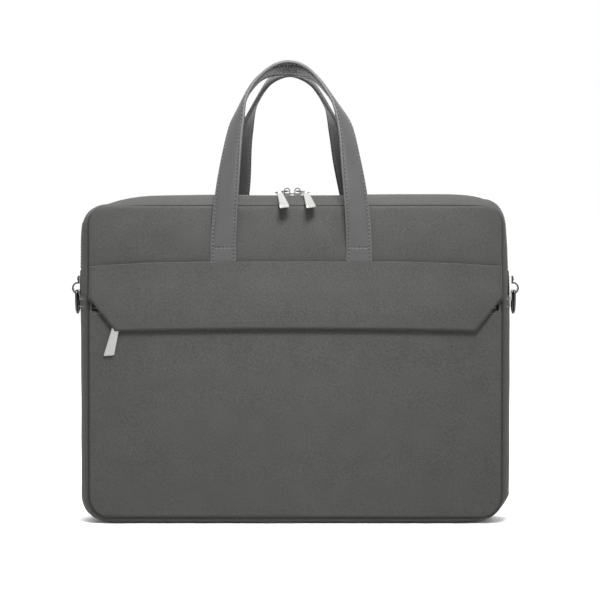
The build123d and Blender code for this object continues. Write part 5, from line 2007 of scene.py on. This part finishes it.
    def build(self) -> None:
        """Build the strap with its stitches."""
        line, across, face, height = self._frames()
        place, which, padding = self._section()
        full = smooth(height, *(self.cross_row + over for over in self.filling))[:, None]
        half = self.width / 2
        away = (height + self.tail - self.foot_gap)[:, None]
        wide = place * rounded_reach(half, self.tail_round, away) / half
        worn = self.wear[0] * np.sin(run_length(line) * self.wear[1])[:, None] * padding
        creases = (which < 0) * full * padding * self._creases(line, height)[:, None]
        rise = (self._edge(height)[:, None] + (self.pad_half - self.edge_half) * full * padding) * which
        rise = rise + worn * full * which - self.crease_depth * creases * which
        points = line[:, None, :] + across[:, None, :] * wide[..., None] + face[:, None, :] * rise[..., None]
        count = len(place)
        front = int((which > 0).sum())
        numbers = np.full(count, StrapFace.LINING.value)
        numbers[:front - 1] = StrapFace.HIDE.value
        numbers[[front - 1, front, count - 2, count - 1]] = StrapFace.EDGE.value
        numbers[0] = numbers[front - 2] = StrapFace.EDGE.value
        numbers[front + 1] = numbers[count - 3] = StrapFace.EDGE.value
        draft = Draft()
        # The lining's creases feed the painted-shadow channel: painted shade in the folds.
        threads = joined(place, run_length(line)[:, None], 0.25 * creases)
        draft.grid(points, threads, closed=True, finish=numbers)
        draft.faces += [tuple(range(count))[::-1], tuple(range(draft.count - count, draft.count))]
        draft.finish += [StrapFace.LINING.value] * 2
        self._stitch(draft, line, across, face, height)
        self._finish(draft)

    def _creases(self, line: Array, height: Array) -> Array:
        """Wrinkles of the lining leather where the arch bends it, rows of 0 to 1: they dent it and paint
        shade into its folds.
        """
        far = run_length(line)
        bent = smooth(height, *(share * height.max() for share in self.crease_reach))
        wave = np.sin(far * 900) * np.sin(far * 571 + 1.0) + 0.6 * np.sin(far * 1430 + 2.0)
        return bent * np.clip(wave, 0, 1)

    def _stitch(self, draft: Draft, line: Array, across: Array, face: Array, height: Array) -> None:
        """Sew both margins on both faces, and the row across each foot."""
        stitch = Stitching(length=2.15 * MM, gap=1.5 * MM, radius=0.30 * MM, hole=0.60 * MM)
        thread, hole = StrapFace.THREAD.value, StrapFace.PAINTED_SHADE.value
        away = self.width / 2 - self.stitch_in
        for turn in (1, -1):
            for edge in (-1, 1):
                row = line + across * away * edge + face * turn * self._edge(height)[:, None]
                stitch.sew(draft, row[1:-1], face[1:-1] * turn, thread, hole)
        levels = [self.cross_row + 0.4 * MM, self.cross_row - 0.8 * MM]
        if self.side > 0:
            levels += [2.0 * MM - self.tail]
        for level in levels:
            y = self.side * (np.interp(level, height[:20], np.abs(line[:20, 1])) + self._edge(level))
            # The upper cross row is drawn all in the near-black painted-shadow finish, thread and all: a
            # painted shadow line.
            colour = hole if level > self.cross_row else thread
            for leg in (-1, 1):
                x = self.middle + leg * self.spread + np.linspace(-away, away, 14) * self.past_margin
                stitch.sew(draft, joined(x, y, self.fold_z + level), (0, self.side, 0), colour, colour)

    def _finish(self, draft: Draft) -> None:
        """Dress the strap, hide the nodes that it stands for and bake it in place."""
        shop = self.shop
        finishes = (
            Finish.LEATHER, Finish.HANDLE_LINING, Finish.EDGE_PAINT, Finish.HANDLE_THREAD, Finish.PAINTED_SHADE
        )
        name = self.name + "_handle_strap"
        piece = draft.make(name, [shop.wardrobe[finish] for finish in finishes])
        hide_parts(*[f"{self.name}_handle_{part}" for part in ("face", "pad", "lining", "anchors")])
        start, end = (0, 0, self.fold_z - self.bend[0]), (0, 0, self.fold_z + self.bend[1])
        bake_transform(piece)
        LOG.info("%s: %d points bending from %s to %s", name, draft.count, self.base.value, self.body.value)


# ---- side patches and metal
@dataclass
class RingPatch:
    """A patch on a side that carries the ring's bridge.

    Attributes:
        shop: Makes the pieces.
        under: Gap between the patch and the cloth.
        thick: Thickness of the patch.
        corner: Radius of its corners.
        stitch_in: Distance of its stitches from the edge.
    """

    shop: Workshop
    under: float = 0.12 * MM
    thick: float = 0.35 * MM
    corner: float = 3.0 * MM
    stitch_in: float = 1.8 * MM

    def build(self, side: int, node: str) -> None:
        """Build one patch.

        Args:
            side: -1 for the left side, 1 for the right.
            node: The CAD node that it stands for.
        """
        low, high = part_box(node)
        line = self.shop.outline
        fine = np.array([0, 0.3, 0.8, 1.5, 2.4, 3.2]) * MM
        z = low.z + edge_steps(fine, high.z - low.z, 3 * MM)
        reach = rounded_reach(high.y, self.corner, np.minimum(z - low.z, high.z - z))
        y, heights = fanned(reach, z, fine, high.y, 3 * MM)
        out = line.side_height(side, heights.ravel(), y.ravel()).reshape(y.shape)
        out = out + line.half_width + self.under
        front, back = (joined(side * far, y, heights) for far in (out + self.thick, out))
        draft = Draft()
        draft.turned(front, back, joined(y, heights))
        self._stitch(draft, low, high, side)
        name = ("left" if side < 0 else "right") + "_ring_patch_cloth"
        finishes = [Finish.SHELL, Finish.CLOTH_THREAD, Finish.PAINTED_SHADE]
        self.shop.finish(draft, name, finishes, Body.CASE, [node])

    def _stitch(self, draft: Draft, low: Vector, high: Vector, side: int) -> None:
        """Sew round the patch, inside its edge."""
        line = self.shop.outline
        wide = high.y - self.stitch_in
        bottom, top = low.z + self.stitch_in, high.z - self.stitch_in
        corners = [(-wide, bottom), (wide, bottom), (wide, top), (-wide, top), (-wide, bottom)]
        for (y0, z0), (y1, z1) in zip(corners, corners[1:]):
            share = np.linspace(0.03, 0.97, 16)
            y, z = y0 + (y1 - y0) * share, z0 + (z1 - z0) * share
            out = line.side_height(side, z, y) + line.half_width
            row = joined(side * (out + self.under + self.thick), y, z)
            Stitching().sew(draft, row, (side, 0, 0), 1, 2)


@dataclass
class Metal:
    """The plated pieces, which keep the shapes they are made with.

    Attributes:
        shop: Holds the finishes.
        plates: The pieces of each plate.
    """

    shop: Workshop
    plates: tuple[tuple[Finish, str], ...] = (
        (Finish.SATIN, "puller_left puller_right puller_pocket"),
        (Finish.SLIDER, "slider_left slider_right slider_pocket link_left link_right link_pocket"),
        (Finish.DARK, "ring_bridge_left ring_bridge_right ring_rivets_left ring_rivets_right "
                      "d_ring_left d_ring_right"),
    )

    def dress(self) -> None:
        """Give every plated piece its finish."""
        for finish, names in self.plates:
            for name in names.split():
                slots = self.shop.frame["nodes"][name].data.materials
                slots.clear()
                slots.append(self.shop.wardrobe[finish])
                LOG.info("%s: %s", name, finish.value)


# ---- studio
@dataclass
class Studio:
    """A white floor and backdrop, soft lights and the camera.

    Attributes:
        lens: Focal length in millimetres.
        distance: From the camera to the middle of the case.
        camera_rise: Height of the camera.
        aim_rise: Height that it looks at.
        aim_x: Side shift of both.
        floor_size: Width of the floor.
        sky_light: Strength of the wide light from above.
        world_light: Strength of the white room.
    """

    lens: float = 150.0
    distance: float = 2.36
    camera_rise: float = 0.333
    aim_rise: float = 0.209
    aim_x: float = 0.0043
    floor_size: float = 30.0
    sky_light: float = 0.6
    world_light: float = 1.0

    def place_camera(self) -> None:
        """Make the camera."""
        data = bpy.data.cameras.new("camera")
        data.lens = self.lens
        data.sensor_width = 36.0
        data.clip_end = 60.0
        camera = linked("camera", data)
        camera.location = (self.aim_x, -self.distance, self.camera_rise)
        aim(camera, Vector((self.aim_x, 0.0, self.aim_rise)) - camera.location)
        bpy.context.scene.camera = camera

    def _light(self, name: str, place: Sequence[float], target: Sequence[float], size: float, power: float,
               spread: float = 180.0) -> None:
        """Hang one soft area light.

        Args:
            name: Its name.
            place: Where it hangs.
            target: What it points at.
            size: Its side's length.
            power: Its power in watts.
            spread: Full angle of its cone in degrees.
        """
        data = bpy.data.lights.new(name, "AREA")
        data.spread = math.radians(spread)
        data.shape = "SQUARE"
        data.size = size
        data.energy = power
        light = linked(name, data)
        light.location = place
        aim(light, Vector(target) - Vector(place))

    def build(self) -> None:
        """Lay the floor, light the room and set how colours show."""
        half = self.floor_size / 2
        corners = [(-half, -half, 0.0), (half, -half, 0.0), (half, half, 0.0), (-half, half, 0.0)]
        mesh = bpy.data.meshes.new("floor")
        mesh.from_pydata(corners, [], [(0, 1, 2, 3)])
        floor = linked("floor", mesh)
        tree = NodeTree("white_floor")
        grain = tree.noise(0.4, 2.0)
        white = tree.blend(grain, (0.93, 0.93, 0.93), (0.95, 0.95, 0.95))
        mesh.materials.append(tree.surface(Base_Color=white, Roughness=0.9, Specular_IOR_Level=0.1))
        world = bpy.data.worlds.new("studio")
        world.use_nodes = True
        back = world.node_tree.nodes["Background"]
        back.inputs["Color"].default_value = (1.0, 1.0, 1.0, 1.0)
        back.inputs["Strength"].default_value = self.world_light
        bpy.context.scene.world = world
        data = bpy.data.lights.new("sky", "SUN")
        data.energy = self.sky_light
        data.angle = math.radians(36)
        aim(linked("sky", data), Vector((-0.16, 1.0, -1.0)))
        self._light("key", (0.08, -0.74, 1.06), (0.0, 0.0, 0.4), 0.35, 3.0, 52.0)
        self._light("top", (0.0, 0.15, 1.5), (0.0, 0.0, 0.3), 0.9, 16.0)
        self._light("back_wash", (0.0, 2.4, 1.4), (0.0, 0.6, 0.3), 2.2, 12.0)
        bpy.context.scene.view_settings.view_transform = "Standard"


def main() -> None:
    """Build every sub-assembly of the case in order."""
    logging.basicConfig(level=logging.INFO, format="%(name)s %(message)s")
    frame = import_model()
    studio = Studio()
    studio.place_camera()
    shop = Workshop(frame)
    walls = Walls(shop)
    walls.build_back()
    walls.build_lower_gusset()
    walls.build_bindings()
    ZipDeck(shop, walls).build()
    Front(shop, walls).build()
    Inside(shop).build()
    for side in (-1, 1):
        Handle(shop, side).build()
    patch = RingPatch(shop)
    patch.build(-1, "ring_patch_left")
    patch.build(1, "ring_patch_right")
    Metal(shop).dress()
    studio.build()


if __name__ == "__main__":
    main()
